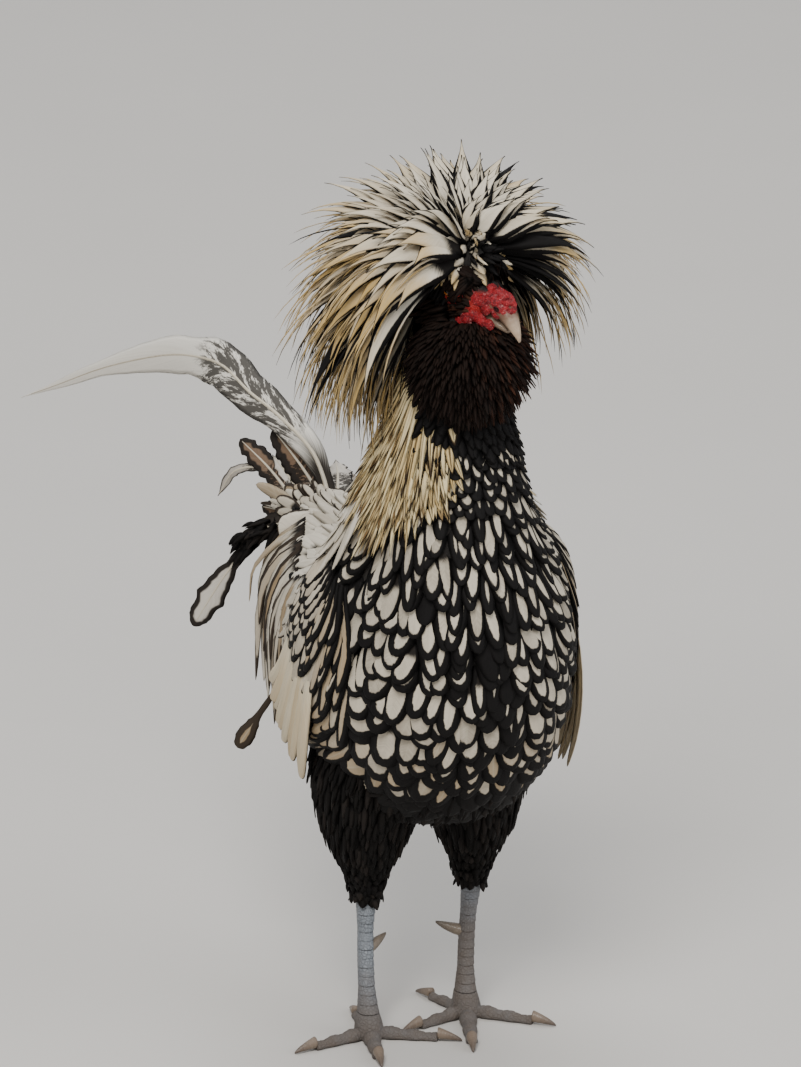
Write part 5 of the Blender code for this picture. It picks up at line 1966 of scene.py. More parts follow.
@dataclass
class Saddle(Coat):
    """White saddle feathers over the rump, and the long ones that hang over the flanks.

    Each row is the ring it springs from, how many rings it reaches, the half angle it covers over
    the back and the feathers' half width.
    """

    piece, finish, slot = "saddle_coat", SADDLE_PLUME, "plume_white"
    body: BodyForm
    rows: Rows = (
        (2.6, 1.0, 84, 4.2),
        (3.4, 1.2, 72, 4.8),
        (4.3, 1.4, 66, 5.2),
        (5.4, 1.6, 68, 5.4),
        (6.5, 1.6, 72, 5.2),
        (7.6, 1.7, 78, 5.0),
        (8.3, 1.5, 78, 4.6),
    )
    tiers: int = 20
    count: int = 21
    flank_count: int = 84
    facing: Triple = (-0.5, -0.8, 0.35)
    single: tuple[LongFeather, ...] = (
        LongFeather(
            ((-34, 72, 192), (-49, 92, 168), (-59, 101, 149), (-65, 104, 138), (-71, 107, 127)),
            (1.6, 1.6, 1.6, 1.7, 2.0, 4.0, 5.2, 4.6), 3.7, 0.9, 0.4,
        ),
        LongFeather(
            ((-8, 98, 244), (-26, 111, 247), (-41, 123, 243)), (5, 8, 9, 9, 7.5),
            0.9, 0.1, 0.3, 0.02,
        ),
        LongFeather(
            ((-18, 92, 237), (-35, 105, 237), (-47, 116, 227)), (4, 7, 8, 8, 6.5),
            0.9, 0.1, 0.5, 0.02,
        ),
        LongFeather(
            ((2, 104, 246), (-5, 117, 254), (-12, 129, 256)), (4, 6.5, 7.5, 7, 5),
            0.6, 0.0, 0.2, 0.03,
        ),
    )
    single_at: tuple[Pair, ...] = ((7.4, -100), (7.2, -140), (7.2, -124), (7.8, -170))
    form: FeatherForm = FeatherForm(rows=10, columns=5, root=0.5, full=3.0, point=0.6, cup=0.3)
    single_form: FeatherForm = FeatherForm(rows=24, columns=7, cup=0.2, thick=0.7)

    def over_back(self, rng: Any) -> Surface:
        """Tiers across the back, each feather back along the body and drooping where it is off the middle.

        Args:
            rng: the random source.

        Returns:
            The surface.
        """
        tier = np.repeat(np.linspace(0, len(self.rows) - 1, self.tiers), self.count)
        s, reach, half, wide = along(self.rows, tier).T
        share = (np.tile(np.arange(self.count), self.tiers) + rng.uniform(0, 1, s.shape)) / self.count
        turn = np.radians((2 * share - 1) * half)
        turn = turn * (1 - np.where(turn < 0, 0.32, 0.2) * smooth(4.4, 3.2, s))
        v = self.form.stations()[None, :]
        reach = reach * rng.uniform(0.85, 1.1, s.shape)
        lift = -4.0 + (8.5 + rng.uniform(-1.5, 2.0, s.shape))[:, None] * v
        s_way = np.minimum(s[:, None] + reach[:, None] * v, 9.9)
        path, facing = self.body.point(s_way, math.pi + turn[:, None] * (1 + 0.3 * v), lift)
        path[..., 2] -= (abs(np.sin(turn)) * 24 * smooth(4.2, 5.6, s))[:, None] * v**2
        values = {
            "lace": np.where(rng.uniform(0, 1, s.shape) < 0.2, rng.uniform(0.3, 1.0, s.shape), NO_RIM),
            "tone": rng.uniform(0, 1, s.shape),
            "warm": rng.uniform(0, 0.5, s.shape) ** 2,
            "base": 0.15,
        }
        wide = wide * rng.uniform(0.85, 1.1, s.shape)
        return self.form.grow(path, facing, wide, self.body.unwrap(s, math.pi + turn), values)

    def over_flanks(self, rng: Any) -> Surface:
        """The hanging feathers of both sides: each way goes out, then down in a long curve.

        Args:
            rng: the random source.

        Returns:
            The surface.
        """
        ways, faces, wides, bakes = [], [], [], []
        for side in Side:
            share = np.sort(rng.uniform(-0.9, 1, self.flank_count))
            s, phi = 7.2 + 1.5 * share, np.radians(side.value * (114 + 26 * abs(share)))
            root, out = self.body.point(s, phi, -2.5)
            share = np.maximum(share, 0)
            size = (rng.uniform(0.55, 1.08, share.shape) * (0.55 + 0.45 * smooth(6.0, 7.2, s)))[:, None]
            zero = 0 * share
            away = np.stack([side.value * (8 + 16 * share), 10 + 4 * share, zero], axis=-1)
            away = away * rng.uniform(0.65, 1.12, share.shape)[:, None]
            away[:, 1] += rng.uniform(-6, 6, share.shape)
            knots = np.stack(
                [
                    root,
                    root + away * 0.5 + np.array([0, 3, -18]) * size,
                    root + away * 0.95 + np.array([0, 5, -50]) * size,
                    root + away * 1.02 + np.array([0, 6, -88]) * size,
                ]
            )
            way = along(knots.reshape(4, -1), 3 * self.form.stations())
            ways.append(np.swapaxes(way.reshape(-1, *root.shape), 0, 1))
            faces.append(out * [1, 0.6, 0.2] + np.array([0, 1.0, 0]) * rng.uniform(-1.0, 0.3, (len(s), 1)))
            wides.append(rng.uniform(2.8, 5.4, share.shape))
            bakes.append(self.body.unwrap(s, phi))
        path, wide = np.concatenate(ways), np.concatenate(wides)
        count = len(path)
        values = {
            "lace": np.where(rng.uniform(0, 1, count) < 0.55, rng.uniform(0.5, 2.2, count), NO_RIM),
            "tone": rng.uniform(0, 1, count),
            "warm": rng.uniform(0.0, 1.0, count) ** 2,
        }
        return self.form.grow(path, np.concatenate(faces), wide, np.concatenate(bakes), values)

    def single_plumes(self, rng: Any) -> Surface:
        """The feathers that stand by themselves: a worn dark one off the right flank, with a spoon at
        its end, and broad round white ones at the tail's root.

        Args:
            rng: the random source.

        Returns:
            The surface.
        """
        parts = []
        for make, (s, turn) in zip(self.single, self.single_at):
            bake = self.body.unwrap(np.array([s]), np.radians([turn]))
            parts.append(make.grow(self.single_form, self.facing, bake, rng))
        return Surface.joined(parts)

    def build(self, rng: Any) -> Surface:
        """The feathers of back and flanks with the single ones."""
        return Surface.joined([self.over_back(rng), self.over_flanks(rng), self.single_plumes(rng)])


@dataclass
class Wing:
    """A folded, drooping wing: small laced coverts, striped secondaries and cream primaries below.

    A place on it is (a, b): a from the shoulder (0) to the tip (1), b from the lower edge (-1) up to
    the upper edge (1).
    """

    body: BodyForm
    side: Side
    start: float = 4.15
    length: float = 2.6
    stations: Row = (0, 0.3, 0.7, 1, 1.5)
    middle: Row = (106, 98, 80, 64, 50)
    half: Steps = ((0, 0.12, 0.4, 0.75, 1, 1.5), (8, 17, 22, 16, 6, 6))
    swell: Steps = ((0, 0.15, 0.5, 0.85, 1, 1.5), (2, 6, 8, 5.5, 2, 2))
    primary_roots: tuple[float, float, float] = (5.0, 86.0, 4.0)
    primary_ends: tuple[float, float, float] = (5.5, 97.0, 5.0)
    tip_roots: tuple[Triple, Triple] = ((6.15, 50.0, 15.0), (5.5, 45.0, 17.0))
    tip_ends: tuple[Triple, Triple] = ((6.95, 64.0, 13.0), (6.3, 60.0, 16.0))
    primaries: int = 9
    covert_form: FeatherForm = FeatherForm(root=0.5, full=5.0, cup=0.2, thick=0.5)
    long_form: FeatherForm = FeatherForm(rows=12, root=0.6, full=6.0, cup=0.22, thick=0.6)

    def lie(self, a: Array, b: Array, free: bool = False) -> tuple[Array, Array, Array]:
        """s, phi and height over the body of places on the wing.

        Args:
            a, b: places on the wing.
            free: whether b may pass the edges, as feathers do.

        Returns:
            s, phi and height.
        """
        phi = np.radians(np.interp(a, self.stations, self.middle) + np.interp(a, *self.half) * b)
        edge = np.sqrt(np.maximum(1 - (b / 1.3 if free else b) ** 2, 0))
        return self.start + self.length * a + 0 * b, phi * self.side.value, np.interp(a, *self.swell) * edge

    def pad(self) -> Surface:
        """The flesh of the wing under its feathers: a lens over the body, its rim drawn in.

        Returns:
            The surface.
        """
        a, b = np.linspace(0.01, 0.97, 20)[:, None], np.linspace(-0.96, 0.96, 13)[None, :]
        s, phi, swell = self.lie(a, b)
        outer, _ = self.body.point(s, phi, swell - 1.5)
        inner, _ = self.body.point(s, phi[:, ::-1], -4.0 + 0 * swell)
        rings = np.concatenate([outer, inner], axis=1)
        return Surface.tube(rings)

    def tier(
        self,
        rng: Any,
        a: Pair,
        b: Pair,
        counts: tuple[int, int],
        reach: float,
        lift: float,
        wide: float,
        form: FeatherForm,
        values: dict[str, Any],
    ) -> Surface:
        """Feathers in rows across the wing that run towards its tip.

        Args:
            rng: the random source.
            a: where the first and last rows stand.
            b: how far across they go.
            counts: rows, and feathers in each.
            reach: how far along the wing a feather lies.
            lift: its height over the wing's swell.
            wide: its half width.
            form: its make.
            values: its colour values, one or a range of two each.

        Returns:
            The feathers.
        """
        rows, many = counts
        first = np.repeat(np.linspace(*a, rows), many) + rng.uniform(-0.012, 0.012, rows * many)
        offset = np.repeat(np.arange(rows) % 2 * 0.5, many)
        jog = rng.uniform(-0.15, 0.15, rows * many)
        share = (np.tile(np.arange(many), rows) + offset + jog) / (many - 0.5)
        v = form.stations()[None, :]
        span = reach * rng.uniform(0.9, 1.12, first.shape)[:, None]
        along_wing = first[:, None] + span * v
        across = (b[0] + (b[1] - b[0]) * share)[:, None] * (1 - 0.35 * span * v)
        s, phi, swell = self.lie(along_wing, across, free=True)
        jitter = rng.uniform(-0.4, 0.5, first.shape)[:, None]
        height = swell * (1 - 0.3 * v) + lift + (1.8 + jitter) * v - 3.2 * (1 - v)
        path, facing = self.body.point(s, phi, height)
        held = {
            key: rng.uniform(*value, first.shape) if isinstance(value, tuple) else value
            for key, value in values.items()
        }
        wides = wide * rng.uniform(0.9, 1.1, first.shape)
        return form.grow(path, facing, wides, self.body.unwrap(s[:, 0], phi[:, 0]), held)

    def primary_feathers(self, rng: Any) -> Surface:
        """The primaries, drooping off the body in a narrow fan.

        Args:
            rng: the random source.

        Returns:
            The surface.
        """
        share = np.linspace(0, 1, self.primaries)[:, None]
        root = np.array(self.primary_roots) * (1 - share) + np.array(self.primary_ends) * share
        first, last = self.tip_roots[self.side is Side.LEFT], self.tip_ends[self.side is Side.LEFT]
        tip = np.array(first) * (1 - share) + np.array(last) * share
        tip = tip + rng.uniform(-1, 1, tip.shape) * [0.06, 1.5, 0.8]
        v = self.long_form.stations()[None, :, None]
        way = root[:, None] + (tip - root)[:, None] * v
        path, facing = self.body.point(way[..., 0], np.radians(way[..., 1]) * self.side.value, way[..., 2])
        values = {
            "lace": rng.uniform(0.2, 0.7, self.primaries),
            "tone": rng.uniform(0, 1, self.primaries),
            "warm": rng.uniform(0.1, 0.6, self.primaries),
        }
        bake = self.body.unwrap(root[:, 0], np.radians(root[:, 1]) * self.side.value)
        return self.long_form.grow(path, facing, rng.uniform(5.4, 6.8, self.primaries), bake, values)

    def flight(self, rng: Any) -> Surface:
        """The cream feathers: the primaries underneath and the long tier over their roots.

        Args:
            rng: the random source.

        Returns:
            The surface.
        """
        cream = {"lace": (0.4, 1.8), "tone": (0.0, 1.0), "warm": (0.1, 0.9)}
        rows = self.tier(rng, (0.36, 0.52), (-0.75, 0.85), (2, 8), 0.46, 0.4, 7.4, self.long_form, cream)
        return Surface.joined([self.primary_feathers(rng), rows])

    def coverts(self, rng: Any) -> Surface:
        """The laced coverts, which carry the breast's pattern on over the wing.

        Args:
            rng: the random source.

        Returns:
            The surface.
        """
        laced = {"lace": (2.0, 3.3), "tone": (0.0, 1.0), "warm": (0.0, 0.4)}
        small = {"lace": (2.2, 3.8), "tone": (0.0, 1.0), "warm": (0.2, 1.0)}
        form = self.covert_form
        return Surface.joined(
            [
                self.tier(rng, (0.34, 0.48), (-0.8, 0.85), (2, 7), 0.3, 0.8, 6.6, form, laced),
                self.tier(rng, (0.0, 0.3), (-0.8, 0.9), (4, 7), 0.28, 1.2, 6.4, form, laced),
                self.tier(rng, (-0.02, 0.6), (-1.28, -0.55), (8, 3), 0.26, 1.0, 6.0, form, small),
                self.tier(rng, (-0.06, 0.62), (-1.75, -1.2), (8, 3), 0.28, 0.6, 6.4, form, small),
            ]
        )

    def dress(self, dresser: Dresser, rng: Any) -> None:
        """Sets the wing on the bird.

        Args:
            dresser: what sets the pieces on the bird.
            rng: the random source.
        """
        end = self.side.end
        dresser.dress("wing_feathers" + end, self.flight(rng), WING_PLUME, "plume_white", ("wing" + end,))
        dresser.dress("wing_coverts" + end, self.coverts(rng), LACED_PLUME, "plume_white")
        pad = self.pad()
        pad.values["bare"] = np.zeros(len(pad.points))
        pad.values["white"] = np.full(len(pad.points), 0.4)
        dresser.dress("wing_pad" + end, pad, SkinFinish(), "plume_white")


@dataclass
class Tail:
    """The tail: a long white sickle and the worn plumes under it."""

    facing: Triple = (-0.352, -0.871, 0.342)
    sickle: LongFeather = LongFeather(
        (
            (-5, 135, 247), (-5, 148, 262), (-9, 158, 275), (-19, 180, 288), (-27, 200, 295), (-33, 222, 303),
            (-40, 245, 302), (-50, 272, 295), (-68, 310, 278), (-85, 340, 260), (-98, 360, 248),
        ),
        (4, 5, 7, 9, 11, 12.5, 11.5, 9.5, 5, 2.2, 0.3),
        tone=0.2,
    )
    plumes: tuple[LongFeather, ...] = (
        LongFeather(
            ((-5, 136, 244), (-12, 161, 263), (-19, 185, 277)), (5, 8.5, 9, 7.5, 4),
            4.6, 1.0, 0.8, 0.1,
        ),
        LongFeather(
            ((-14, 142, 241), (-17, 160, 254), (-22, 178, 265)), (3.5, 6, 6.5, 4.5, 0.3),
            0.6, 0.2, 0.3, 0.15,
        ),
        LongFeather(
            ((-18, 144, 242), (-24, 172, 257), (-32, 200, 268)), (3, 5, 6, 6, 4),
            3.0, 0.9, 0.8, 0.13,
        ),
        LongFeather(
            ((-15, 145, 240), (-24, 176, 256), (-36, 196, 252), (-42, 208, 234)),
            (3, 2.8, 2.5, 2.4, 2.6, 2.4, 0.3), 0.7, 0.4, 0.4, 0.12,
        ),
        LongFeather(
            ((-18, 142, 237), (-24, 160, 239), (-30, 173, 238)), (3, 6, 6.5, 5, 3),
            2.5, 1.0, 0.9, 0.12,
        ),
        LongFeather(
            (
                (-16, 136, 234), (-32, 148, 236), (-41, 160, 224),
                (-51, 170, 205), (-58, 176, 190), (-67, 182, 171),
            ),
            (5, 8, 7, 4, 2.6, 3.6, 5.8, 7.2, 7.2, 5.5), 2.9, 0.3, 0.3, 0.1, 0.5,
        ),
        LongFeather(
            ((0, 140, 243), (9, 160, 254), (15, 178, 257)), (3, 7, 8, 6, 0.3),
            1.0, 0.3, 0.4, 0.15,
        ),
        LongFeather(
            ((0, 140, 240), (18, 160, 247), (30, 176, 244)), (3, 7, 8, 6, 0.3),
            1.2, 0.5, 0.7, 0.15,
        ),
    )
    at: Triple = (-14.0, 143.0, 247.0)
    root: Triple = (13.0, 13.0, 14.0)
    coverts: int = 84
    fluff_way: tuple[Triple, ...] = ((-16, 134, 239), (-28, 146, 237), (-38, 156, 230), (-45, 164, 219))
    fluff: int = 110
    form: FeatherForm = FeatherForm(rows=44, columns=9, cup=0.22, thick=0.9, patch=0.1)
    sickle_form: FeatherForm = FeatherForm(rows=60, columns=9, cup=0.22, thick=0.9, patch=0.9)
    covert_form: FeatherForm = FeatherForm(root=0.5, cup=0.25, thick=0.5)
    fluff_form: FeatherForm = FeatherForm(
        rows=6, columns=3, root=0.6, full=2.2, point=0.8, cup=0.3, thick=0.5
    )

    def dark_fluff(self, rng: Any) -> Surface:
        """The soft dark tufts that hang at the tail's root, along the spoon feather's first part.

        Args:
            rng: the random source.

        Returns:
            The surface.
        """
        share = np.sort(rng.uniform(0, 1, self.fluff))
        root = along(self.fluff_way, share * (len(self.fluff_way) - 1)) + rng.uniform(-4, 4, (self.fluff, 3))
        way = unit(np.array([-0.6, 0.55, -0.45]) + rng.uniform(-0.45, 0.45, root.shape))
        v = self.fluff_form.stations()[None, :, None]
        length = rng.uniform(9, 17, (self.fluff, 1)) * (1.1 - 0.4 * share[:, None])
        path = root[:, None] + (way * length)[:, None] * v - np.array([0, 0, 3.0]) * v**2
        values = {"tone": rng.uniform(0, 1, self.fluff), "warm": rng.uniform(0, 0.8, self.fluff)}
        bake = np.stack([0.05 + 0.9 * share, 0.5 + 0.1 * (root[:, 2] - root[:, 2].mean()) / 4], axis=-1)
        facing = np.array(self.facing) + rng.uniform(-0.4, 0.4, root.shape)
        return self.fluff_form.grow(path, unit(facing), rng.uniform(1.6, 2.8, self.fluff), bake, values)

    def shaft(self, make: LongFeather) -> Surface:
        """The feather's shaft: a fine tapering rod along the middle of its face.

        Args:
            make: the feather.

        Returns:
            The rod.
        """
        v = np.linspace(0, 0.97, 40)
        path = along(make.way, v * (len(make.way) - 1)) + np.array(self.facing) * 0.35
        run = unit(np.gradient(path, axis=0))
        side = unit(np.cross(np.array(self.facing), run))
        high = np.cross(run, side)
        radius = (1.1 * (1 - v) + 0.2)[:, None, None]
        turn = turns(6)[None, :, None]
        rings = path[:, None] + side[:, None] * np.cos(turn) * radius + high[:, None] * np.sin(turn) * radius
        return Surface.tube(rings)

    def covert_feathers(self, rng: Any) -> Surface:
        """Short rounded feathers that close the tail's root all round.

        Args:
            rng: the random source.

        Returns:
            The surface.
        """
        n = self.coverts
        turn = turns(n) * 3.0 + rng.uniform(-0.2, 0.2, n)
        share = np.linspace(0, 1, n)
        back = unit(np.array([-0.1, 0.9, 0.35]))
        side, up = np.array([1.0, 0, 0]), unit(np.array([0, -0.35, 0.9]))
        out = side * np.cos(turn)[:, None] + up * np.sin(turn)[:, None]
        root = np.array(self.at) + out * np.array(self.root) * (0.75 - 0.25 * share[:, None])
        root = root + back * (share * 10 - 12)[:, None]
        length = rng.uniform(18, 36, n) * (1 - 0.45 * smooth(0.1, 0.7, np.sin(turn)))
        v = self.covert_form.stations()[None, :, None]
        way = unit(back + out * rng.uniform(0.05, 0.4, (n, 1)) + rng.uniform(-0.1, 0.1, (n, 3)))
        path = root[:, None] + (way * length[:, None])[:, None] * v - UP * 5 * v**2
        values = {
            "lace": np.where(rng.uniform(0, 1, n) < 0.7, rng.uniform(0.5, 2.2, n), -1),
            "tone": rng.uniform(0, 1, n),
            "warm": rng.uniform(0.0, 0.9, n) ** 2,
            "base": rng.uniform(0.2, 0.5, n),
        }
        bake = np.stack([0.05 + 0.9 * share, 0.05 + 0.9 * (turn / 6.3 % 1)], axis=-1)
        return self.covert_form.grow(path, out, rng.uniform(2.6, 4.6, n), bake, values)

    def dress(self, dresser: Dresser, rng: Any) -> None:
        """Sets the tail on the bird.

        Args:
            dresser: what sets the pieces on the bird.
            rng: the random source.
        """
        vane = self.sickle.grow(self.sickle_form, self.facing, np.array([[0.5, 0.5]]), rng)
        dresser.dress("sickle_vane", vane, TAIL_PLUME, "plume_white", ("sickle",))
        plumes = [
            make.grow(self.form, self.facing, np.array([[0.07 + 0.12 * index, 0.5]]), rng)
            for index, make in enumerate(self.plumes)
        ]
        dresser.dress("tail_plumes", Surface.joined(plumes), TAIL_PLUME, "plume_white", ("tail",))
        shafts = [self.shaft(make) for make in (self.sickle, *self.plumes)]
        ends = dresser.place.span(self.sickle.way[0], self.sickle.way[-1])
        horn = HornFinish("shaft_horn", (0.62, 0.56, 0.44), (0.4, 0.34, 0.25), ends)
        dresser.dress("tail_shafts", Surface.joined(shafts), horn, "plume_white")
        dresser.dress("tail_coverts", self.covert_feathers(rng), SADDLE_PLUME, "plume_white")
        dresser.dress("tail_fluff", self.dark_fluff(rng), BLACK_PLUME, "plume_black")


@dataclass(frozen=True)
class LegForm:
    """Places and sizes of the legs.

    A thigh ring is its height over the hock, half width, half depth, and shift outwards and back. A
    toe is where it ends on the ground, its half width and its height.
    """

    hocks: tuple[Triple, Triple] = ((-35.0, 10.0, 71.0), (27.5, 13.0, 70.0))
    ankles: tuple[Triple, Triple] = ((-44.0, -15.0, 14.0), (17.0, -4.0, 14.0))
    thigh_rings: Rows = (
        (122, 10, 18, -14, -6),
        (112, 22, 33, -8, -5),
        (95, 30, 41, -3, -3),
        (75, 33, 41, -1, -2),
        (57, 31, 36, -1, -1),
        (42, 26.5, 29, 0, -1),
        (27, 20.5, 22, 0, -1),
        (13, 14, 15, 0, 0),
        (0, 8.5, 9, 0, 0),
    )
    toes: tuple[tuple[tuple[Pair, float, float], ...], ...] = (
        (((-52, -50), 5.2, 7.5), ((-12, -36), 4.8, 7.0), ((-78, -24), 4.8, 7.0), ((-40, 12), 4.2, 6.5)),
        (((3, -48), 5.2, 7.5), ((-14, -16), 4.8, 7.0), ((45, -32), 4.8, 7.0), ((8, 22), 4.2, 6.5)),
    )
    toe_names: tuple[str, ...] = ("middle", "inner", "outer", "hind")
    toe_root: Pair = (0.0, -2.0)
    bow: float = 2.5
    depth: float = 1.18
    gap: float = 0.3

    def hock(self, side: Side) -> Array:
        """Where the feathered thigh ends."""
        return np.array(self.hocks[side is Side.LEFT])

    def ankle(self, side: Side) -> Array:
        """Where the shank meets the foot."""
        return np.array(self.ankles[side is Side.LEFT])

    def thigh_point(self, side: Side, row: Array, turn: Array, lift: Any = 0.0) -> tuple[Array, Array]:
        """Points at a height over the thigh, and the directions outwards, by ring and angle.

        Args:
            side: the side of the bird.
            row, turn: ring and angle.
            lift: heights over the thigh.

        Returns:
            The points, and the directions outwards.
        """
        rise, half_width, half_depth, out, back = np.moveaxis(along(self.thigh_rings, row), -1, 0)
        hock = self.hock(side)
        across, deep = np.cos(turn), np.sin(turn)
        rising = 0.15 * (row < 2) + 0 * across * row
        outward = unit(np.stack([across / half_width, deep / half_depth, rising], axis=-1))
        middle = np.stack(
            [
                hock[0] + side.value * out + half_width * across,
                hock[1] + back + half_depth * deep,
                hock[2] + rise + 0 * across,
            ],
            axis=-1,
        )
        return middle + outward * np.asarray(lift, float)[..., None], outward

    def thigh(self, side: Side, depth: float) -> Surface:
        """The thigh's skin, under its plumage by a depth.

        Args:
            side: the side of the bird.
            depth: how far it lies under the plumage.

        Returns:
            The closed surface.
        """
        rows, turn = np.linspace(0, len(self.thigh_rings) - 1, 30)[:, None], turns(36)[None, :]
        points, _ = self.thigh_point(side, rows, turn, -depth * (1 - 0.6 * smooth(7.2, 8, rows)) + 0 * turn)
        return Surface.tube(points)

    def shank_middle(self, side: Side, share: Array) -> Array:
        """The shank's bowed middle line, from the hock (0) to the ankle (1).

        Args:
            side: the side of the bird.
            share: places along it.

        Returns:
            The points.
        """
        top, end = self.hock(side) - [0, 0, self.gap], self.ankle(side)
        line = top + (end - top) * share[..., None]
        line[..., 1] += self.bow * np.sin(math.pi * share)
        return line


@dataclass
class Leg:
    """One leg below the thigh: scaled shank, foot with four toes, claws and spur, and the thigh's fluff."""

    form: LegForm
    side: Side
    stations: Row = (0, 0.12, 0.3, 0.8, 1)
    radii: Row = (5.6, 4.8, 4.0, 4.2, 5.6)
    scutes: int = 13
    raised: float = 0.65
    ankle_rings: tuple[Triple, ...] = ((13.7, 6.1, 0), (8, 7.4, -1.2), (3, 8.0, -2), (0, 7.4, -2))
    claw_length: float = 13.0
    spur_length: float = 17.0
    spur_place: float = 0.48
    mud_tops: Pair = (0.026, 0.058)
    fluff: FeatherForm = FeatherForm(rows=6, columns=3, root=0.6, full=2.6, point=0.7, cup=0.3, thick=0.6)

    def shank(self) -> Surface:
        """The shank: a bowed rod with overlapping plates in front, each a ramp that drops at its end.

        Returns:
            The surface.
        """
        share, turn = np.linspace(0, 1, 150)[:, None], turns(36)[None, :]
        front = np.clip(-np.sin(turn) * 1.4 + 0.15, 0, 1)
        ramp = (share * self.scutes) % 1.0
        plate = smooth(0, 0.16, ramp) * (0.35 + 0.65 * ramp) * smooth(1.0, 0.93, ramp)
        back_ramp = (share * self.scutes * 1.6 + 0.5) % 1.0
        back = smooth(0, 0.2, back_ramp) * smooth(1, 0.85, back_ramp) * np.clip(np.sin(turn) * 1.2, 0, 1)
        radius = np.interp(share, self.stations, self.radii) + self.raised * front * plate + 0.3 * back
        middle = self.form.shank_middle(self.side, share[:, 0])[:, None]
        wide, deep = radius * np.cos(turn), radius * self.form.depth * np.sin(turn)
        made = Surface.tube(middle + np.stack([wide, deep, 0 * wide], axis=-1))
        # Painted shade in the recess under each front plate's edge.
        groove = np.maximum(front * smooth(0.2, 0.0, plate), 0.0) * smooth(0.25, 0.0, plate)
        made.values["groove"] = np.append(groove.ravel(), [0, 0])
        return made

    def toe(self, tip: Any, wide: float, high: float) -> Surface:
        """A toe: flat below, rounded above and ringed with plates, thicker at its joints.

        Args:
            tip: where it ends on the ground.
            wide: its half width.
            high: its height.

        Returns:
            The closed surface.
        """
        start = self.form.ankle(self.side)[:2] + self.form.toe_root
        run = unit(np.asarray(tip, float) - start)
        share, turn = np.linspace(0, 1, 56)[:, None], turns(20)[None, :]
        taper = (1 - 0.42 * share) * (1 + 0.09 * np.cos(share * math.pi * 6))
        ramp = (share * 11) % 1.0
        plate = 0.45 * smooth(0, 0.2, ramp) * (0.4 + 0.6 * ramp) * smooth(1, 0.9, ramp)
        up = np.sin(turn)
        top = high * taper + plate
        z = np.where(up > 0, top * (0.3 + 0.7 * up), top * 0.3 * (1 - (-up) ** 0.7))
        across = np.cos(turn) * wide * taper * (1 - 0.12 * (up < 0) * -up)
        middle = start + (np.asarray(tip, float) - start) * share
        x, y = middle[:, :1] - run[1] * across, middle[:, 1:] + run[0] * across
        return Surface.tube(np.stack([x, y, z], axis=-1))

    def foot(self) -> Surface:
        """The foot: the ankle and its toes made one.

        Returns:
            The surface.
        """
        ankle = self.form.ankle(self.side)
        z, radius, shift = curve(self.ankle_rings, 16).T[..., None]
        turn = turns(28)[None, :]
        rings = [
            ankle[0] + radius * np.cos(turn),
            ankle[1] + shift + radius * 1.15 * np.sin(turn),
            np.maximum(z + 0 * turn, 0),
        ]
        parts = [Surface.tube(np.stack(rings, axis=-1))]
        parts += [self.toe(*toe) for toe in self.form.toes[self.side is Side.LEFT]]
        made = union(parts)
        # Painted shade along the underside of the foot, within 1.5 mm of the ground.
        made.values["groove"] = smooth(1.5, 0.2, made.points[:, 2]) * 0.6
        return made

    def claw(self, index: int) -> Surface:
        """A claw: a cone of rings that bends down in front of its toe.

        Args:
            index: which toe it is on.

        Returns:
            The closed surface.
        """
        tip, wide, high = self.form.toes[self.side is Side.LEFT][index]
        run = unit(np.array(tip, float) - self.form.ankle(self.side)[:2] - self.form.toe_root)
        share, turn = np.linspace(0, 1, 16)[:, None], turns(16)[None, :]
        radius = wide * 0.52 * (1 - share) ** 0.7 + 0.35
        z = 0.6 + radius + (high * 0.5 - 1.6) * (1 - share**1.6) * 0.5
        across, up = np.cos(turn) * radius, np.sin(turn) * radius * 1.15
        middle = np.array(tip) + run * (self.form.gap + self.claw_length * share)
        rings = [middle[:, :1] - run[1] * across, middle[:, 1:] + run[0] * across, np.maximum(z + up, 0.5)]
        return Surface.tube(np.stack(rings, axis=-1))

    def spur(self) -> Surface:
        """The spur: a blunt curved cone on the inner rear of the shank.

        Returns:
            The surface.
        """
        out = unit(np.array([-self.side.value * 0.82, 0.42, 0.12]))
        across = unit(np.cross(out, UP))
        up = np.cross(across, out)
        share, turn = np.linspace(0, 1, 18), turns(16)[None, :, None]
        radius = np.interp(share, (0, 0.4, 0.75, 0.94, 1), (3.6, 3.1, 2.0, 1.0, 0.5))[:, None, None]
        root = self.form.shank_middle(self.side, np.array(self.spur_place))
        middle = root + out * (self.spur_length * share)[:, None] + UP * 2.5 * (share**2)[:, None]
        return Surface.tube(middle[:, None] + across * np.cos(turn) * radius + up * np.sin(turn) * radius)

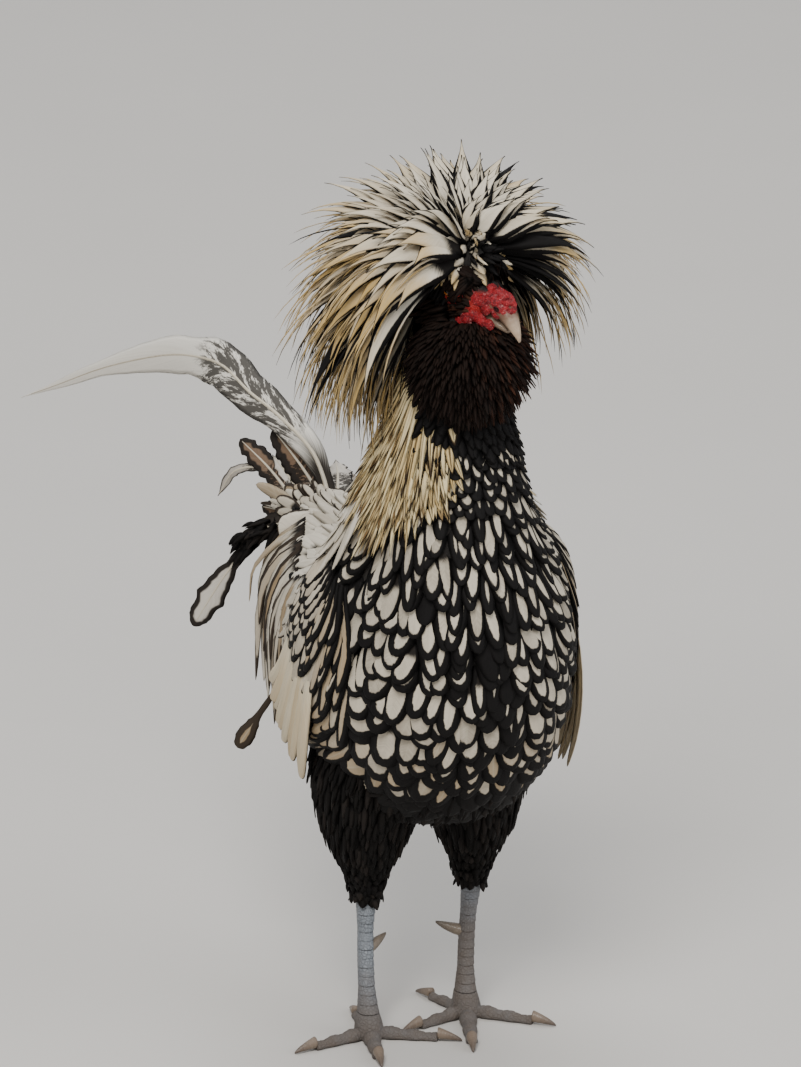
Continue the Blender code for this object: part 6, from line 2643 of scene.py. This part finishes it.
    def thigh_fluff(self, rng: Any) -> Surface:
        """Soft black feathers down the thigh, drawn into a cuff at the hock.

        Args:
            rng: the random source.

        Returns:
            The surface.
        """
        rows = 34
        many = np.linspace(36, 22, rows).astype(int)
        row = np.repeat(np.linspace(1.6, 7.8, rows), many) + rng.uniform(-0.12, 0.12, many.sum())
        turn = np.concatenate([(np.arange(n) + rng.uniform(0, 1, n)) * 2 * math.pi / n for n in many])
        v = self.fluff.stations()[None, :]
        length = rng.uniform(13, 22, row.shape) * (1 - 0.66 * smooth(4.0, 7.4, row))
        cuff = smooth(6.4, 7.6, row)
        root, out = self.form.thigh_point(self.side, row, turn, -3.2 + 2.2 * cuff)
        ahead, _ = self.form.thigh_point(self.side, np.minimum(row + 0.6, 7.98), turn, -2.4 + 2.2 * cuff)
        run = unit(ahead - root) + np.array([0, 0, -0.1])
        rise = rng.uniform(-0.8, 1.2, row.shape)
        path = root[:, None] + (unit(run) * length[:, None])[:, None] * v[..., None]
        path = path + out[:, None] * (rise[:, None] * np.sin(v * 2.2))[..., None]
        values = {
            "lace": -1.0,
            "tone": rng.uniform(0, 1, row.shape),
            "warm": rng.uniform(0, 1, row.shape) ** 3,
        }
        bake = np.stack([0.04 + 0.92 * (turn / (2 * math.pi) % 1), 0.04 + 0.92 * row / 8], axis=-1)
        return self.fluff.grow(path, out, rng.uniform(2.0, 3.4, row.shape), bake, values)

    def dress(self, dresser: Dresser, rng: Any) -> None:
        """Sets the leg on the bird.

        Args:
            dresser: what sets the pieces on the bird.
            rng: the random source.
        """
        end = self.side.end
        scales = ScaleFinish("leg_scales" + end, mud_top=self.mud_tops[self.side is Side.LEFT])
        dresser.dress("shank_scales" + end, self.shank(), scales, "shank_slate", ("shank" + end,))
        dresser.dress("foot_scales" + end, self.foot(), scales, "shank_slate", ("foot" + end,))
        for index, toe in enumerate(self.form.toe_names):
            claw = self.claw(index)
            ends = dresser.place.span(*claw.points[-2:])
            horn = HornFinish("claw_horn", (0.2, 0.15, 0.11), (0.09, 0.065, 0.05), ends)
            dresser.dress(f"claw_{toe}_horn{end}", claw, horn, "horn", (f"claw_{toe}{end}",))
        spur = self.spur()
        ends = dresser.place.span(*spur.points[-2:])
        horn = HornFinish("spur_horn", (0.2, 0.16, 0.12), (0.1, 0.08, 0.06), ends)
        dresser.dress("spur_horn" + end, spur, horn, "horn", ("spur" + end,))
        dresser.dress("thigh_fluff" + end, self.thigh_fluff(rng), BLACK_PLUME, "plume_black")


@dataclass
class Face:
    """Bill, comb, folds at the mouth and eyes."""

    head: HeadForm
    upper: Rows = (
        (24.3, 8.2, 8.4, -1.6),
        (30, 7.4, 8.6, -2.0),
        (36, 5.8, 6.4, -3.4),
        (42, 4.0, 2.0, -6.0),
        (46.5, 2.2, -3.4, -8.6),
        (49, 0.9, -8.0, -10.4),
    )
    lower: Rows = (
        (24.3, 6.6, -2.2, -8.6),
        (30, 5.6, -2.8, -8.8),
        (36, 4.0, -4.6, -9.0),
        (40, 2.0, -7.0, -9.2),
    )
    nostril_at: Triple = (31.8, 3.8, 4.4)
    nostril: Triple = (3.2, 2.1, 2.1)
    opening_at: Triple = (33.6, 5.9, 3.8)
    opening: Triple = (2.0, 1.6, 0.9)
    hollow_at: Triple = (34.4, 7.3, 4.2)
    hollow: Triple = (2.0, 2.3, 1.3)
    comb: tuple[tuple[float, float, float, Triple], ...] = (
        (21.5, 0.9, 8.6, (3.0, 2.4, 2.2)),
        (25.0, 3.4, 6.6, (3.2, 2.6, 2.8)),
        (28.6, 3.6, 6.9, (3.2, 2.6, 2.9)),
        (32.0, 3.0, 6.6, (2.8, 2.2, 2.4)),
        (34.6, 1.4, 6.2, (2.2, 1.8, 2.0)),
        (27.4, 7.2, 1.2, (3.4, 2.0, 3.8)),
        (31.0, 5.8, 2.0, (2.6, 1.6, 2.6)),
        (19.5, 8.2, 3.0, (4.4, 2.6, 3.6)),
        (23.6, 7.6, 3.4, (3.4, 2.2, 3.4)),
        (22.5, 5.6, 5.4, (3.0, 2.2, 2.6)),
        (27.2, 5.9, 5.4, (3.2, 2.3, 2.6)),
        (30.2, 5.2, 6.8, (2.8, 2.0, 2.2)),
        (33.4, 5.0, 0.0, (3.2, 2.0, 2.2)),
        (36.4, 2.6, 4.8, (2.4, 2.4, 1.9)),
        (37.4, 3.6, 1.4, (1.9, 1.5, 1.8)),
        (27.2, 0.8, 8.6, (3.2, 2.4, 2.5)),
        (31.4, 1.0, 8.8, (3.0, 2.3, 2.0)),
        (35.4, 1.0, 6.8, (2.4, 2.1, 1.7)),
        (31.4, 4.5, 5.9, (3.7, 2.9, 2.8)),
        (33.9, 4.4, 4.0, (3.3, 2.8, 2.9)),
        (38.4, 0.9, 3.6, (2.6, 2.0, 1.7)),
        (39.2, 2.4, 1.2, (2.0, 1.4, 1.8)),
        (36.8, 3.4, 3.0, (2.2, 1.9, 2.2)),
    )
    wattle: tuple[tuple[float, float, float, Triple], ...] = (
        (21.0, 9.0, -5.5, (4.6, 2.4, 3.4)),
        (17.5, 10.8, -9.0, (4.4, 2.0, 4.0)),
        (25.6, 7.8, -6.6, (4.2, 2.4, 3.6)),
        (30.4, 6.2, -7.4, (3.6, 2.2, 3.0)),
        (14.5, 11.6, -13.0, (3.6, 1.9, 3.4)),
    )

    def lump(self, at: Any, radii: Triple, side: Side, rows: int = 18, lumps: float = 0.0) -> Surface:
        """An ellipsoid along the head's own directions, on one side."""
        return ellipsoid(self.head.on_side(at, side), radii, self.head.axes(), rows, lumps)

    def bill(self) -> tuple[Surface, Surface]:
        """The upper half with its raised nostrils, and the lower half.

        Returns:
            Both closed surfaces.
        """
        parts, openings = [self.head.loft(self.upper, 32, 34, 0.06)], []
        for side in Side:
            parts.append(self.lump(self.nostril_at, self.nostril, side))
            openings.append(self.lump(self.opening_at, self.opening, side))
        return union(parts, openings), self.head.loft(self.lower, 28, 24)

    def lobes(self, places: Any, sides: Sequence[Side]) -> Surface:
        """Lumpy lobes of flesh made one.

        Args:
            places: each lobe's place for the left side, and its radii.
            sides: the sides they are on.

        Returns:
            The closed surface.
        """
        parts = [
            self.lump((ahead, out, up), radii, side, 20, 0.07)
            for side in sides
            for ahead, out, up, radii in places
        ]
        return union(parts)

    def comb_flesh(self) -> Surface:
        """The comb with the flesh round the nostrils, each a hollow in it that is painted near-black inside
        as shade.

        Returns:
            The surface.
        """
        flesh = self.lobes(self.comb, tuple(Side))
        openings = [self.lump(self.hollow_at, self.hollow, side) for side in Side]
        flesh = union([flesh], openings)
        ahead, left, up = self.head.own(flesh.points).T
        off = (np.array([ahead, abs(left), up]).T - np.array(self.hollow_at)) / np.array(self.hollow)
        # How far inside a nostril hollow each point is, for the near-black painted shade there.
        flesh.values["hollow"] = smooth(1.25, 0.95, np.linalg.norm(off, axis=1))
        return flesh

    def eye(self, side: Side) -> Surface:
        """The eyeball, with its distance off the eye's axis and the angle round it.

        Args:
            side: the side of the bird.

        Returns:
            The surface.
        """
        outward = unit(self.head.axes()[1] * side.value + self.head.axes()[0] * 0.18)
        ahead = unit(np.cross(outward, UP))
        axes = np.array([outward, ahead, np.cross(outward, ahead)])
        centre = self.head.on_side(self.head.eye_at, side)
        ball = ellipsoid(centre, np.full(3, self.head.eye_radius), axes, 40)
        own = (ball.points - centre) @ axes.T
        off_axis = np.linalg.norm(own[:, 1:], axis=1) / self.head.eye_radius
        ball.values["off_axis"] = off_axis + 2 * (own[:, 0] < 0)
        ball.values["turn"] = np.arctan2(own[:, 1], own[:, 2])
        return ball

    def dress(self, dresser: Dresser) -> None:
        """Sets the face's pieces on the head.

        Args:
            dresser: what sets the pieces on the bird.
        """
        upper, lower = self.bill()
        ends = dresser.place.span(self.head.point_at((24, 0, 3)), self.head.point_at((49, 0, -9)))
        # The upper beak's root colour is painted shade over its base, under the comb.
        horn = HornFinish("beak_horn", (0.62, 0.52, 0.4), (0.42, 0.3, 0.2), ends, root=(0.15, 0.075, 0.045))
        dresser.dress("beak_upper_horn", upper, horn, "horn", ("upper_beak",))
        dark_horn = HornFinish("beak_lower", (0.21, 0.15, 0.1), (0.12, 0.08, 0.055), ends)
        dresser.dress("beak_lower_horn", lower, dark_horn, "horn", ("lower_beak",))
        dresser.dress("comb_lobes", self.comb_flesh(), CombFinish(), "red_skin", ("comb",))
        for side in Side:
            end = side.end
            folds = self.lobes(self.wattle, (side,))
            dresser.dress("wattle_folds" + end, folds, CombFinish(), "red_skin", ("wattle" + end,))
            dresser.dress("eye_ball" + end, self.eye(side), EyeFinish(), "iris", ("eye" + end,))


@dataclass
class Studio:
    """Floor, lights and camera."""

    place: Place
    azimuth: float = -22.0
    elevation: float = 20.0
    distance: float = 12.0
    lens: float = 750.0
    aim_right: float = -0.0176
    aim_up: float = 0.26
    floor_size: float = 60.0
    lit_at: Triple = (0.0, 0.0, 0.25)
    sky: Colour = (0.85, 0.87, 0.9)
    sky_light: float = 0.42

    def directions(self) -> tuple[Vector, Vector, Vector]:
        """The camera's right, up and backward directions.

        Returns:
            The three directions.
        """
        turn, rise = math.radians(self.azimuth), math.radians(self.elevation)
        right = Vector((math.cos(turn), math.sin(turn), 0))
        back = Vector((math.sin(turn) * math.cos(rise), -math.cos(turn) * math.cos(rise), math.sin(rise)))
        return right, back.cross(right), back

    def camera(self) -> None:
        """The camera at the photo's angle, aimed so that the bird stands where the photo has it."""
        right, up, back = self.directions()
        aim = right * self.aim_right + up * self.aim_up + Vector(self.place.shift)
        data = bpy.data.cameras.new("camera")
        data.lens = self.lens
        data.clip_end = 60
        camera = bpy.data.objects.new("camera", data)
        camera.location = aim + back * self.distance
        camera.rotation_euler = back.to_track_quat("Z", "Y").to_euler()
        bpy.context.scene.collection.objects.link(camera)
        bpy.context.scene.camera = camera

    def light(self, name: str, at: Triple, size: float, power: float, colour: Colour = (1, 1, 1)) -> None:
        """A soft square lamp that looks at the bird's breast.

        Args:
            name: its name.
            at: where it stands, in metres.
            size: the length of its side.
            power: in watts.
            colour: its colour.
        """
        data = bpy.data.lights.new(name, "AREA")
        data.size = size
        data.energy = power
        data.color = colour
        lamp = bpy.data.objects.new(name, data)
        lamp.location = at
        lamp.rotation_euler = (Vector(at) - Vector(self.lit_at)).to_track_quat("Z", "Y").to_euler()
        bpy.context.scene.collection.objects.link(lamp)

    def build(self) -> None:
        """Floor, lamps, surroundings and camera."""
        half = self.floor_size / 2
        corners = np.array([[-half, -half, 0], [half, -half, 0], [half, half, 0], [-half, half, 0]]) / MM
        floor = bpy.data.objects.new("floor", Surface(corners, np.array([[0, 1, 2, 3]])).mesh("floor"))
        floor.data.materials.append(FloorFinish().material())
        bpy.context.scene.collection.objects.link(floor)
        self.light("key", (-1.2, -2.0, 2.8), 1.5, 105.0, (1.0, 0.97, 0.93))
        self.light("fill", (2.2, -1.8, 1.5), 2.0, 26.0, (0.95, 0.97, 1.0))
        self.light("top", (0.4, 1.2, 2.8), 1.8, 48.0)
        world = bpy.data.worlds.new("surroundings")
        world.use_nodes = True
        sky, strength = world.node_tree.nodes["Background"].inputs[:2]
        sky.default_value = (*self.sky, 1)
        strength.default_value = self.sky_light
        bpy.context.scene.world = world
        self.camera()


def main() -> None:
    """Builds every piece of the bird in order, then the studio."""
    logging.basicConfig(level=logging.INFO, format="%(message)s")
    rng = np.random.default_rng(SEED)
    body, head, legs, marks = BodyForm(), HeadForm(), LegForm(), Markings()
    place = Place.from_frame(head)
    dresser = Dresser(place)
    Skin(body, head, legs, marks).dress(dresser)
    Face(head).dress(dresser)
    trunk = (BodyCoat(body, marks), BellyFluff(body, marks), Throat(body), Hackle(body), Saddle(body))
    crown = (Crest(head), FaceCoat(head), Beard(head), Tail())
    limbs = [limb for side in Side for limb in (Wing(body, side), Leg(legs, side))]
    for part in (*trunk, *crown, *limbs):
        part.dress(dresser, rng)
    Studio(place).build()


if __name__ == "__main__":
    main()
